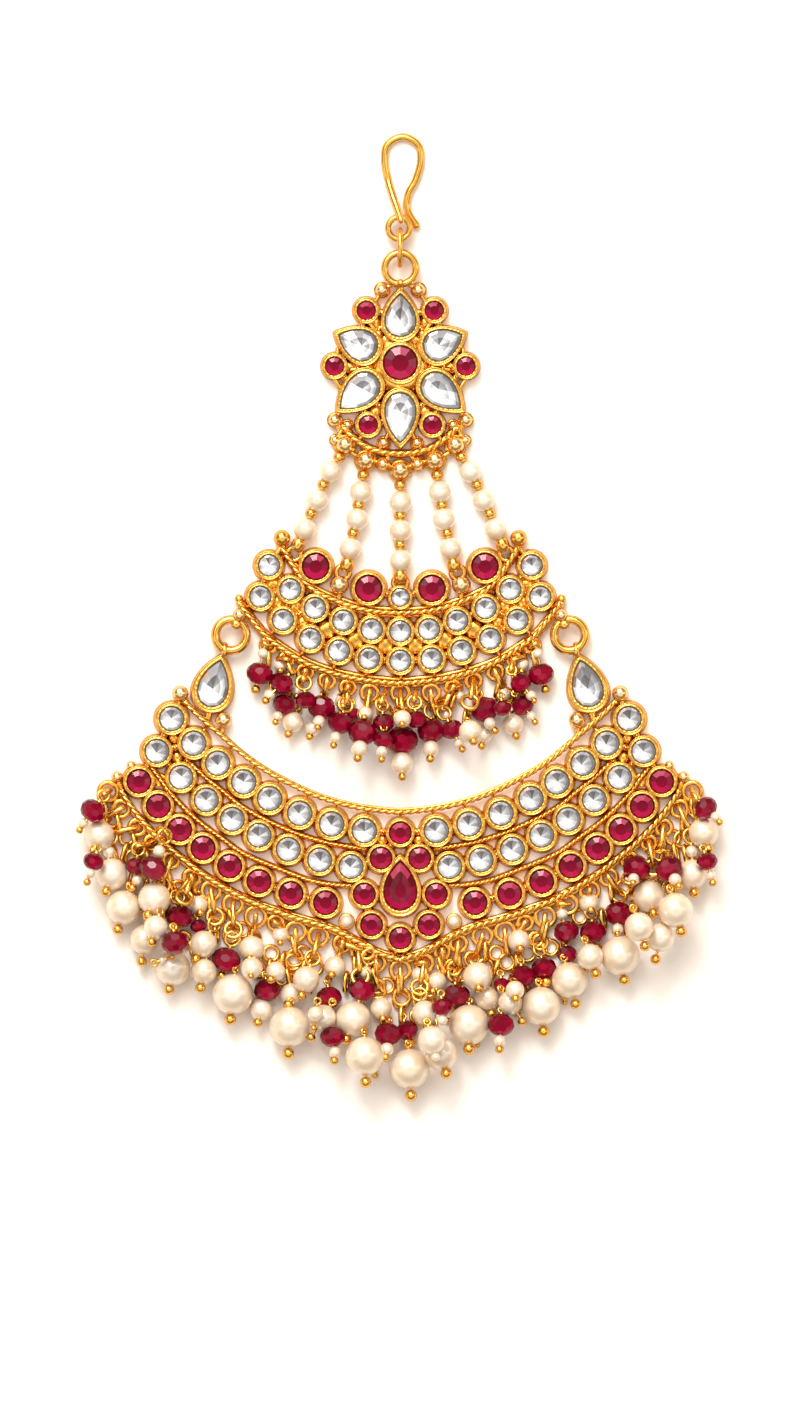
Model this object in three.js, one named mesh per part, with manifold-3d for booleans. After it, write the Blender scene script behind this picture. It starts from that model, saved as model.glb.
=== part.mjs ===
// Jhoomar: a jewelled side hair ornament lying on its back, front up.
// Millimetres. +X runs to the right of the front, +Y runs to the hook, +Z is up.
import * as THREE from "three";
import { mergeVertices } from "three/addons/utils/BufferGeometryUtils.js";
import Module from "manifold-3d";

const wasm = await Module();
wasm.setup();

// ---- driving sizes -------------------------------------------------------
const SETTING_HEIGHT = 2.1; // walls of the round settings above the back
const STONE_CROWN = 0.45; // how far a round stone stands above its setting
const ROPE_WIDTH = 1.05; // twisted border wires
const ROPE_HEIGHT = 1.0; // height of their centre above the back
const LOOP_WIRE = 0.68; // little loops along the lower edges
const LOOP_HEIGHT = 0.9;
const HEAVY_WIRE = 1.1; // hook and large rings
const RING_HEIGHT = 1.92; // hook's ring, link and the rosette's ring share this middle height
const PIN_WIRE = 0.55; // pins and eyes that carry the drops
const STRING_PEARL = 3.4;
const STRING_THREAD = 0.7;
const SEAT_FLOOR = 0.8; // floor of the seats that hold the large stones
const SEAT_CUT = 4; // a seat is cut from its floor to well above the wall
const STONE_BASE = 1.05; // underside of the large stones
const STONE_DOME = 0.5; // bevelled top of the pear-shaped stones
const BAR_HEIGHT = 0.45; // solder bars behind the settings
const FLOOR_CLEAR = 0.02;
const PIECE_GAP = 0.3; // free space between pieces that only hang together
const REST_GAP = 0.12; // free space where one bead leans on another
const ROUND_SIDES = 6; // sides of the round settings
const BEAD_SIDES = 6;
const BIG_BEAD = 2.9; // beads wider than this get a band more

// ---- materials -----------------------------------------------------------
const COLOURS = {
  gold: { color: 0xd9a441, roughness: 0.25, metalness: 1.0 },
  ruby: { color: 0x8f1038, roughness: 0.15, metalness: 0.0 },
  pearl: { color: 0xf1e7d3, roughness: 0.3, metalness: 0.0 },
  clear: { color: 0xd8dcde, roughness: 0.1, metalness: 0.0 },
};

const group = new THREE.Group();
group.name = "jhoomar";

// ---- helpers -------------------------------------------------------------
function solidOf(geometry, matrix) {
  const bare = geometry.clone();
  bare.deleteAttribute("normal");
  bare.deleteAttribute("uv");
  if (matrix) bare.applyMatrix4(matrix);
  const merged = mergeVertices(bare, 1e-4);
  return new wasm.Manifold(new wasm.Mesh({
    numProp: 3,
    vertProperties: new Float32Array(merged.attributes.position.array),
    triVerts: new Uint32Array(merged.index.array),
  }));
}

function place(x, y, z, turn = new THREE.Quaternion(), size = new THREE.Vector3(1, 1, 1)) {
  return new THREE.Matrix4().compose(new THREE.Vector3(x, y, z), turn, size);
}

function joined(solids) {
  return wasm.Manifold.union(solids);
}

function addPiece(name, solid, look) {
  const mesh = solid.getMesh();
  const geometry = new THREE.BufferGeometry();
  geometry.setAttribute("position", new THREE.BufferAttribute(mesh.vertProperties, 3));
  geometry.setIndex(new THREE.BufferAttribute(mesh.triVerts, 1));
  const piece = new THREE.Mesh(geometry, new THREE.MeshStandardMaterial(COLOURS[look]));
  piece.name = name;
  group.add(piece);
}

const UPRIGHT = new THREE.Quaternion().setFromAxisAngle(new THREE.Vector3(1, 0, 0), Math.PI / 2);

// rows that begin with a place across, and their mirror images
function mirrored(rows) {
  const others = rows.filter(([x]) => x !== 0).map(([x, ...rest]) => [-x, ...rest]);
  return [...rows, ...others];
}

// a round setting with its stone: a wall under a low point
function setting(x, y, outer, height = SETTING_HEIGHT, sides = ROUND_SIDES) {
  const wall = outer / 2;
  const profile = [
    [0, 0],
    [wall, 0],
    [wall, height],
    [0, height + STONE_CROWN],
  ];
  const lathe = new THREE.LatheGeometry(profile.map(([r, h]) => new THREE.Vector2(r, h)), sides);
  return solidOf(lathe, place(x, y, 0, UPRIGHT));
}

// a round bead; flatness below 1 makes it a rondelle strung along Y
function bead(x, y, z, width, flatness = 1) {
  const bands = width > BIG_BEAD ? 4 : 3;
  const ball = new THREE.SphereGeometry(width / 2, BEAD_SIDES, bands);
  return solidOf(ball, place(x, y, z, undefined, new THREE.Vector3(1, flatness, 1)));
}

// a straight wire between two places
function wire(from, to, width, sides = 3) {
  const a = new THREE.Vector3(...from);
  const b = new THREE.Vector3(...to);
  const along = b.clone().sub(a);
  const turn = new THREE.Quaternion().setFromUnitVectors(
    new THREE.Vector3(0, 1, 0), along.clone().normalize());
  const rod = new THREE.CylinderGeometry(width / 2, width / 2, along.length(), sides);
  const middle = a.add(b).multiplyScalar(0.5);
  return solidOf(rod, place(middle.x, middle.y, middle.z, turn));
}

// a wire bent through a row of places
function bentWire(places, width, stations, sides = 4) {
  const stops = places.map((stop) => new THREE.Vector3(...stop));
  const path = new THREE.CatmullRomCurve3(stops, false, "centripetal");
  const round = new THREE.Shape();
  for (let i = 0; i < sides; i += 1) {
    const angle = (i + 0.5) / sides * 2 * Math.PI;
    const corner = [Math.cos(angle) * width / 2, Math.sin(angle) * width / 2];
    if (i === 0) round.moveTo(...corner);
    else round.lineTo(...corner);
  }
  round.closePath();
  return solidOf(new THREE.ExtrudeGeometry(round, { steps: stations, extrudePath: path }));
}

// a ring of round wire lying flat
function ring(x, y, z, outer, wireWidth, sides = 3, stations = 6) {
  const torus = new THREE.TorusGeometry((outer - wireWidth) / 2, wireWidth / 2, sides, stations);
  return solidOf(torus, place(x, y, z));
}

// a pear-shaped block: round at one end, pointed at the other, domed by a bevel
function pear(x, y, z, width, length, heading, height, dome) {
  const r = width / 2 - dome;
  const reach = length - width / 2 - dome * 1.6;
  const outline = new THREE.Shape();
  const steps = 5;
  for (let i = 0; i <= steps; i += 1) {
    const angle = -Math.PI * 0.12 - i / steps * Math.PI * 0.76;
    const corner = [Math.cos(angle) * r, Math.sin(angle) * r];
    if (i === 0) outline.moveTo(...corner);
    else outline.lineTo(...corner);
  }
  outline.lineTo(-r * 0.86, r * 0.5);
  outline.lineTo(-r * 0.16, reach);
  outline.lineTo(r * 0.16, reach);
  outline.lineTo(r * 0.86, r * 0.5);
  outline.closePath();
  const block = new THREE.ExtrudeGeometry(outline, {
    depth: height - dome,
    bevelEnabled: dome > 0,
    bevelThickness: dome,
    bevelSize: dome,
    bevelSegments: 1,
    steps: 1,
  });
  // the bevel is kept on top only: the lower one is pushed below and cut off
  const turn = new THREE.Quaternion().setFromAxisAngle(new THREE.Vector3(0, 0, 1), heading);
  const shift = length / 2 - width / 2;
  const dx = Math.sin(heading) * shift;
  const dy = -Math.cos(heading) * shift;
  return solidOf(block, place(x + dx, y + dy, z, turn)).trimByPlane([0, 0, 1], z);
}

// ---- hook, its ring and the link below it --------------------------------
const HOOK_ROUTE = [
  [0.1, 59.6],
  [-0.5, 61.4],
  [-1.2, 63.4],
  [-1.8, 65.5],
  [-2.35, 68.4],
  [-1.95, 70.9],
  [0.35, 72.1],
  [2.65, 70.9],
  [3.05, 68.4],
  [2.25, 65.5],
  [1.3, 63.75],
  [0.95, 61.7],
  [1.5, 60.2],
  [2.45, 58.8],
];
const HOOK_LIE = 0.63; // height of the wire where the hook lies flat
const HOOK_FOOT = 3.5; // height of its foot, which rides over the ring

function hookPlaces() {
  return HOOK_ROUTE.map(([x, y], i) => {
    const nearFoot = Math.max(0, 1 - i / 3);
    return [x, y, HOOK_LIE + nearFoot ** 0.8 * (HOOK_FOOT - HOOK_LIE)];
  });
}

addPiece("hook", bentWire(hookPlaces(), HEAVY_WIRE, 26, 5), "gold");
addPiece("hook_ring", ring(-0.2, 58.4, RING_HEIGHT, 4.25, 0.95, 4, 10), "gold");

// an oval link standing on its edge, seen from above as a bar
function uprightOval(x, y, z, length, tall, wireWidth) {
  const torus = new THREE.TorusGeometry((tall - wireWidth) / 2, wireWidth / 2, 4, 12);
  const stretch = (length - wireWidth) / (tall - wireWidth);
  const turn = new THREE.Quaternion().setFromAxisAngle(new THREE.Vector3(0, 1, 0), Math.PI / 2);
  return solidOf(torus, place(x, y, z, turn, new THREE.Vector3(1, stretch, 1)));
}
addPiece("link", uprightOval(-0.05, 55.5, RING_HEIGHT, 6.1, 3.8, 0.8), "gold");

// ---- rosette -------------------------------------------------------------
const ROSETTE_CENTRE = [0, 38.2];
const ROSETTE_RING = { x: 0, y: 52.35, outer: 5.8 };
// a petal's setting, how much smaller its stone is across and along, and the play of its seat
const PETAL = { width: 5.95, lessWide: 1.3, lessLong: 1.75, seatGap: 0.6, stoneHeight: 1.75 };
// middle of each petal, its length, and the way its tip points in degrees left of straight up
const PETALS = [
  [0, 45.3, 8.1, 0],
  [-6.45, 41.1, 7.8, 65],
  [-6.3, 33.7, 8.8, 131],
  [0, 29.95, 9.2, 180],
  [6.3, 33.7, 8.8, -131],
  [6.45, 41.1, 7.8, -65],
];
const ROSETTE_RUBIES = mirrored([
  [-5.1, 46.05],
  [-9.85, 37.7],
  [-4.8, 28.9],
]);
const ROSETTE_SETTING = { outer: 4.05, height: 1.9 };
const HUB = { outer: 6.5, seat: 5.7, stone: 5.0 };
// gold grains: across, along, width
const ROSETTE_GRAINS = mirrored([
  [-2.75, 49.1, 2.0],
  [-9.85, 29.6, 1.9],
  [-7.9, 28.9, 1.4],
  [-2.5, 26.2, 1.7],
  [-9.8, 26.6, 1.4],
  [-8.3, 25.4, 2.75],
  [-5.2, 23.6, 2.75],
  [0, 22.1, 2.75],
  [-2.6, 23.0, 1.8],
]);
const GRAIN_HEIGHT = 1.25;
const ROSETTE_ARC = [[-8.6, 28.6], [-6.0, 26.2], [-3.0, 24.9], [0, 24.6]];

function petalBlock([x, y, length, heading], less, z, height, dome) {
  const size = [PETAL.width - less[0], length - less[1]];
  return pear(x, y, z, ...size, THREE.MathUtils.degToRad(heading), height, dome);
}

function rosetteFrame() {
  const [cx, cy] = ROSETTE_CENTRE;
  const parts = [];
  const hub = new THREE.CylinderGeometry(HUB.outer / 2, HUB.outer / 2, SETTING_HEIGHT, 10);
  parts.push(solidOf(hub, place(cx, cy, SETTING_HEIGHT / 2, UPRIGHT)));
  for (const petal of PETALS) {
    parts.push(petalBlock(petal, [0, 0], 0, SETTING_HEIGHT, 0));
  }
  for (const [x, y] of ROSETTE_RUBIES) {
    parts.push(setting(x, y, ROSETTE_SETTING.outer, ROSETTE_SETTING.height));
  }
  for (const [x, y, width] of ROSETTE_GRAINS) {
    parts.push(bead(x, y, GRAIN_HEIGHT, width));
  }
  parts.push(bentWire(mirroredRoute(ROSETTE_ARC, GRAIN_HEIGHT), ROPE_WIDTH, 8));
  parts.push(bentWire([[-8.3, 25.4, 1], [-5.2, 23.6, 1], [-2.6, 23.0, 1], [0, 22.1, 1],
    [2.6, 23.0, 1], [5.2, 23.6, 1], [8.3, 25.4, 1]], 0.9, 12));
  for (const side of [-1, 1]) {
    parts.push(wire([side * 2.75, 49.1, 1.2], [side * 4.3, 46.4, 1.2], 0.9));
    parts.push(wire([side * 9.85, 35.9, 1.0], [side * 8.2, 33.0, 1.0], 0.9));
    parts.push(wire([side * 9.85, 29.6, 1.1], [side * 8.6, 31.6, 1.1], 0.9));
    parts.push(wire([side * 8.3, 28.7, 1.1], [side * 9.8, 26.6, 1.1], 0.8));
    parts.push(wire([side * 7.6, 27.6, 1.1], [side * 8.3, 25.4, 1.1], 0.9));
    parts.push(wire([side * 4.9, 25.6, 1.1], [side * 5.2, 23.6, 1.1], 0.9));
    parts.push(wire([side * 2.5, 26.2, 1.1], [side * 1.5, 28.2, 1.1], 0.9));
    parts.push(wire([side * 6.0, 26.4, 1.1], [side * 4.8, 28.4, 1.1], 0.9));
  }
  const hubPlace = [cx, cy, BAR_HEIGHT];
  for (const [x, y] of PETALS) parts.push(wire([x, y, BAR_HEIGHT], hubPlace, 0.85));
  for (const [x, y] of ROSETTE_RUBIES) parts.push(wire([x, y, BAR_HEIGHT], hubPlace, 0.8));
  parts.push(ring(ROSETTE_RING.x, ROSETTE_RING.y, RING_HEIGHT, ROSETTE_RING.outer, HEAVY_WIRE, 4, 10));
  parts.push(bead(0, 49.9, 1.5, 1.9));
  parts.push(wire([0, 49.9, 1.3], [0, 47.2, 1.0], 1.1));
  let frame = joined(parts);
  // seats for the large stones, which are pieces of their own
  for (const petal of PETALS) {
    const less = [PETAL.lessWide - PETAL.seatGap, PETAL.lessLong - 1.4 * PETAL.seatGap];
    frame = frame.subtract(petalBlock(petal, less, SEAT_FLOOR, SEAT_CUT, 0));
  }
  const seat = new THREE.CylinderGeometry(HUB.seat / 2, HUB.seat / 2, SEAT_CUT, 10);
  return frame.subtract(solidOf(seat, place(cx, cy, SEAT_FLOOR + SEAT_CUT / 2, UPRIGHT)));
}

function mirroredRoute(half, z) {
  return acrossMiddle(half).map(([x, y]) => [x, y, z]);
}

addPiece("rosette_frame", rosetteFrame(), "gold");
PETALS.forEach((petal, i) => {
  const less = [PETAL.lessWide, PETAL.lessLong];
  const stone = petalBlock(petal, less, STONE_BASE, PETAL.stoneHeight, STONE_DOME);
  addPiece(`petal_stone_${i + 1}`, stone, "clear");
});

// a round faceted stone that stands in a seat of its own
function roundStone(x, y, width, z, crown, sides = 10) {
  const r = width / 2;
  const profile = [[0, z], [r, z], [r, z + crown * 0.6], [r * 0.6, z + crown], [0, z + crown]];
  const lathe = new THREE.LatheGeometry(profile.map(([a, h]) => new THREE.Vector2(a, h)), sides);
  return solidOf(lathe, place(x, y, 0, UPRIGHT));
}
addPiece("rosette_ruby", roundStone(...ROSETTE_CENTRE, HUB.stone, STONE_BASE, 1.9), "ruby");

// ---- pearl strings between the rosette and the middle plate --------------
// each string from the top down: its upper end, its pearls and its lower end
const OUTER_STRING = [[-9.35, 23.7], [-10.6, 21.6], [-12.5, 17.5], [-14.3, 13.2], [-15.15, 11.25]];
const INNER_STRING = [[-5.45, 21.85], [-5.9, 18.9], [-6.6, 14.7], [-7.6, 10.5], [-8.1, 8.4]];
const CENTRE_STRING = [[0, 20.4], [0, 17.3], [0, 13.0], [0, 8.6], [0, 7.1]];
const STRING_END = { width: 2.1, lift: 0.35 }; // the gold bead that closes a string
const STRING_HEIGHT = STRING_PEARL / 2 + FLOOR_CLEAR;

function pearlString(places) {
  const parts = places.slice(1, -1).map(([x, y]) => bead(x, y, STRING_HEIGHT, STRING_PEARL));
  for (let i = 1; i < places.length; i += 1) {
    const [from, to] = [places[i - 1], places[i]];
    parts.push(wire([...from, STRING_HEIGHT], [...to, STRING_HEIGHT], STRING_THREAD));
  }
  const [ex, ey] = places[places.length - 1];
  parts.push(bead(ex, ey + STRING_END.lift, STRING_HEIGHT, STRING_END.width));
  return joined(parts);
}

function mirroredPlaces(places) {
  return places.map(([x, y]) => [-x, y]);
}

addPiece("pearl_string_1", pearlString(OUTER_STRING), "pearl");
addPiece("pearl_string_2", pearlString(INNER_STRING), "pearl");
addPiece("pearl_string_3", pearlString(CENTRE_STRING), "pearl");
addPiece("pearl_string_4", pearlString(mirroredPlaces(INNER_STRING)), "pearl");
addPiece("pearl_string_5", pearlString(mirroredPlaces(OUTER_STRING)), "pearl");

// ---- middle plate --------------------------------------------------------
// each row of stones: the settings' width, and their middles from the end inward
const MIDDLE_ROWS = [
  [4.35, [[-19.7, 7.8], [-16.5, 4.2], [-12.8, 1.4], [-8.55, -0.5], [-4.3, -1.8], [0, -2.1]]],
  [4.35, [[-21.0, 3.1], [-17.6, -0.4], [-13.5, -3.2], [-9.2, -5.0], [-4.7, -6.2], [0, -6.5]]],
  [5.2, [[-12.7, 7.65], [-4.75, 4.35]]],
  [3.7, [[0, 3.0]]],
];
const MIDDLE_DOMES = [[-9.0, 4.9, 2.6]];
const MIDDLE_TOP_ROPE = [[-17.7, 11.4], [-17.5, 10.2], [-15.7, 7.3], [-13.3, 4.4],
  [-9.8, 2.6], [-5.0, 1.1], [0, 0.7]];
const MIDDLE_LOWER_ROPE = [[-24.2, 2.4], [-23.4, 1.2], [-20.2, -2.7], [-16.7, -5.3], [-13.3, -7.2],
  [-9.8, -8.4], [-6.4, -9.2], [-2.9, -9.65], [0, -9.85]];
const MIDDLE_LOOPS = [
  [-19.8, -4.2, 3.0],
  [-17.1, -6.3, 2.7],
  [-14.3, -8.2, 3.0],
  [-11.0, -9.5, 3.0],
  [-7.9, -10.5, 2.9],
  [-4.6, -11.3, 3.2],
  [0, -11.3, 3.4],
];
const STRING_LOOPS = [[-15.9, 9.55, 2.8], [-8.6, 6.75, 2.8], [0, 5.2, 2.9]];
const SIDE_RING = { x: -25.4, y: -2.6, z: 1.9, outer: 5.8 };

function stoneRows(rows) {
  const parts = [];
  for (const [outer, middles] of rows) {
    for (const [x, y] of mirrored(middles)) parts.push(setting(x, y, outer));
  }
  return parts;
}

// the solder bar behind a row of settings
function backBar(places, width = 0.7) {
  const curve = places.map(([x, y]) => [x, y, BAR_HEIGHT]);
  return bentWire(curve, width, places.length - 1, 3);
}

// solder bars from each place to the nearest point of a route beside it
function ties(places, route, width = 0.7) {
  return places.map(([x, y]) => {
    const here = new THREE.Vector3(x, y, BAR_HEIGHT);
    let nearest = null;
    for (let i = 1; i < route.length; i += 1) {
      const stretch = new THREE.Line3(
        new THREE.Vector3(...route[i - 1].slice(0, 2), BAR_HEIGHT),
        new THREE.Vector3(...route[i].slice(0, 2), BAR_HEIGHT));
      const point = stretch.closestPointToPoint(here, true, new THREE.Vector3());
      if (!nearest || point.distanceTo(here) < nearest.distanceTo(here)) nearest = point;
    }
    return wire(here.toArray(), nearest.toArray(), width);
  });
}

// a half route and its mirror image
function acrossMiddle(half) {
  const right = half.filter(([x]) => x !== 0).reverse().map(([x, y]) => [-x, y]);
  return [...half, ...right];
}

function loops(rows) {
  return mirrored(rows).map(([x, y, outer]) => ring(x, y, LOOP_HEIGHT, outer, LOOP_WIRE));
}

function middlePlate() {
  const parts = [...stoneRows(MIDDLE_ROWS), ...loops(MIDDLE_LOOPS), ...loops(STRING_LOOPS)];
  for (const [x, y, width] of mirrored(MIDDLE_DOMES)) parts.push(bead(x, y, 1.2, width));
  parts.push(bentWire(mirroredRoute(MIDDLE_TOP_ROPE, ROPE_HEIGHT), ROPE_WIDTH, 14));
  parts.push(bentWire(mirroredRoute(MIDDLE_LOWER_ROPE, ROPE_HEIGHT), ROPE_WIDTH, 14));
  const [upperRow, lowerRow, rubies, top] = MIDDLE_ROWS.map((row) => acrossMiddle(row[1]));
  parts.push(backBar(upperRow), backBar(lowerRow));
  const some = lowerRow.filter((place, i) => i % 3 === 1);
  parts.push(...ties(some, upperRow), ...ties(some, acrossMiddle(MIDDLE_LOWER_ROPE)));
  parts.push(...ties([...some, ...rubies, ...top], acrossMiddle(MIDDLE_TOP_ROPE)));
  for (const side of [-1, 1]) {
    parts.push(bead(side * 17.7, 11.9, 1.3, 2.5));
    parts.push(bead(side * 24.2, 2.8, 0.9, 1.5));
    parts.push(ring(side * 24.1, 0.55, LOOP_HEIGHT, 2.1, LOOP_WIRE));
    parts.push(wire([side * 17.6, 10.9, 1.0], [side * 19.2, 8.6, 1.0], 0.9));
    parts.push(wire([side * 9.0, 4.9, 1.0], [side * 9.2, 2.4, 1.0], 0.9));
    parts.push(wire([side * 8.6, 5.6, 0.9], [side * 8.9, 4.9, 0.9], 0.7));
  }
  return parts;
}

function sideRing(x) {
  return ring(x, SIDE_RING.y, SIDE_RING.z, SIDE_RING.outer, HEAVY_WIRE, 4, 10);
}
addPiece("side_ring_left", sideRing(SIDE_RING.x), "gold");
addPiece("side_ring_right", sideRing(-SIDE_RING.x), "gold");

// ---- lower plate ---------------------------------------------------------
const LOWER_ROWS = [
  [5.0, [[-34.3, -15.2], [-31.0, -18.9], [-27.4, -21.9], [-23.5, -24.7], [-19.6, -27.2],
    [-15.1, -29.4], [-10.3, -31.0], [-5.4, -32.0]]],
  [4.75, [[-36.5, -20.1], [-32.9, -24.0], [-29.1, -27.4], [-25.2, -30.3], [-21.2, -32.7],
    [-16.8, -34.8], [-12.1, -36.4], [-7.4, -37.4]]],
  [4.75, [[-39.2, -24.6], [-36.3, -28.3], [-33.1, -31.8], [-29.6, -34.6], [-25.6, -37.3],
    [-21.2, -39.6], [-16.4, -41.4], [-11.2, -42.8]]],
  [4.4, [[0, -32.3], [-2.9, -36.1], [-5.4, -41.5], [-4.3, -46.1], [0, -48.1]]],
];
const UPPER_ROPE = [[-32.4, -12.5], [-30.4, -14.6], [-26.9, -17.6], [-23.5, -20.6], [-20.1, -23.0],
  [-16.6, -24.9], [-13.2, -26.5], [-9.7, -27.7], [-6.3, -28.5], [-2.8, -29.0], [0, -29.2]];
const LOWER_ROPE = [[-41.9, -25.9], [-40.7, -27.8], [-39.0, -30.1], [-35.6, -33.7], [-32.1, -36.6],
  [-28.7, -39.1], [-25.2, -41.2], [-21.8, -42.9], [-18.3, -44.2], [-14.9, -45.3], [-11.4, -46.3],
  [-8.7, -47.4], [-5.3, -49.2], [-2.8, -50.5], [0, -51.3]];
const CENTRE_DROP = {
  x: 0, y: -40.2, width: 4.95, length: 7.4, wall: { width: 6.4, length: 9.5 },
};
const SIDE_DROP = {
  x: -27.9, y: -9.9, width: 4.5, length: 7.1, tilt: -15, wall: { width: 6.3, length: 9.0 },
};
const RIGHT_DROP = { ...SIDE_DROP, x: -SIDE_DROP.x };
const PEAR_WALL_HEIGHT = 2.0;
// loops along the lower edge: across, along, width
const LOWER_LOOPS = [
  [-43.8, -26.1, 3.4],
  [-41.9, -28.7, 3.0],
  [-39.5, -31.5, 2.9],
  [-37.3, -33.8, 2.6],
  [-34.4, -36.4, 2.9],
  [-31.3, -39.0, 3.0],
  [-28.4, -41.0, 3.3],
  [-25.1, -43.0, 3.4],
  [-21.7, -44.9, 3.5],
  [-18.7, -45.8, 2.7],
  [-15.7, -47.1, 3.4],
  [-12.3, -47.8, 3.4],
  [-8.7, -48.9, 3.0],
  [-6.3, -50.1, 2.6],
  [-3.6, -51.8, 3.1],
  [0, -52.9, 3.5],
];

function pearWall(seat, heading) {
  const turn = THREE.MathUtils.degToRad(heading);
  return pear(seat.x, seat.y, 0, seat.wall.width, seat.wall.length, turn, PEAR_WALL_HEIGHT, 0);
}

// the hollow that a pear-shaped stone sits in
function pearSeat(seat, heading) {
  const turn = THREE.MathUtils.degToRad(heading);
  return pear(seat.x, seat.y, SEAT_FLOOR, seat.width + 0.6, seat.length + 0.65, turn, SEAT_CUT, 0);
}

function pearStone(seat, heading, height) {
  const turn = THREE.MathUtils.degToRad(heading);
  return pear(seat.x, seat.y, STONE_BASE, seat.width, seat.length, turn, height, STONE_DOME);
}

function lowerSeats() {
  return [
    pearSeat(SIDE_DROP, SIDE_DROP.tilt),
    pearSeat(RIGHT_DROP, -SIDE_DROP.tilt),
    pearSeat(CENTRE_DROP, 0),
  ];
}

function lowerPlate() {
  const parts = [...stoneRows(LOWER_ROWS), ...loops(LOWER_LOOPS)];
  parts.push(bentWire(mirroredRoute(UPPER_ROPE, ROPE_HEIGHT), ROPE_WIDTH, 16));
  parts.push(bentWire(mirroredRoute(LOWER_ROPE, ROPE_HEIGHT), ROPE_WIDTH, 26));
  const rows = LOWER_ROWS.map((row) => row[1]);
  for (const side of [-1, 1]) {
    const [first, second, third, heart] = rows.map((row) => row.map(([x, y]) => [side * x, y]));
    const turned = (route) => route.map(([x, y]) => [side * x, y]);
    parts.push(backBar(first), backBar(second), backBar(third), backBar(heart));
    const some = (row) => row.filter((place, i) => i % 3 === 0);
    parts.push(...ties(some(first), turned(UPPER_ROPE)), ...ties(some(second), first));
    parts.push(...ties(some(third), second), ...ties(some(third), turned(LOWER_ROPE)));
    parts.push(...ties([first[7], second[7], third[7], [side * 8.1, -45.8]], heart));
    parts.push(bead(side * 42.4, -24.4, 0.95, 1.7));
    parts.push(bead(side * 40.4, -22.4, 0.85, 1.5));
    parts.push(wire([side * 42.4, -24.4, 0.9], [side * 41.6, -26.4, 0.9], 0.8));
    parts.push(bead(side * 33.0, -11.5, 1.3, 2.5));
    parts.push(bead(side * 26.4, -15.6, 1.3, 2.5));
    parts.push(wire([side * 33.0, -11.5, 1.0], [side * 33.4, -14.0, 1.0], 0.9));
    parts.push(wire([side * 26.4, -15.6, 1.0], [side * 27.0, -18.6, 1.0], 0.9));
    parts.push(wire([side * 28.7, -13.8, 0.7], [side * 29.6, -16.2, 0.7], 1.2));
    parts.push(ring(side * 26.3, -4.6, LOOP_HEIGHT, 2.2, LOOP_WIRE));
    parts.push(bead(side * 8.1, -45.8, 1.2, 2.0));
  }
  parts.push(wire([0, -48.1, BAR_HEIGHT], [0, -51.3, BAR_HEIGHT], 0.9));
  parts.push(wire([0, -29.2, BAR_HEIGHT], [0, -37.0, BAR_HEIGHT], 0.7));
  parts.push(pearWall(SIDE_DROP, SIDE_DROP.tilt));
  parts.push(pearWall(RIGHT_DROP, -SIDE_DROP.tilt));
  parts.push(pearWall(CENTRE_DROP, 0));
  return parts;
}

addPiece("side_stone_left", pearStone(SIDE_DROP, SIDE_DROP.tilt, 1.7), "clear");
addPiece("side_stone_right", pearStone(RIGHT_DROP, -SIDE_DROP.tilt, 1.7), "clear");
addPiece("centre_ruby", pearStone(CENTRE_DROP, 0, 1.8), "ruby");

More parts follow.
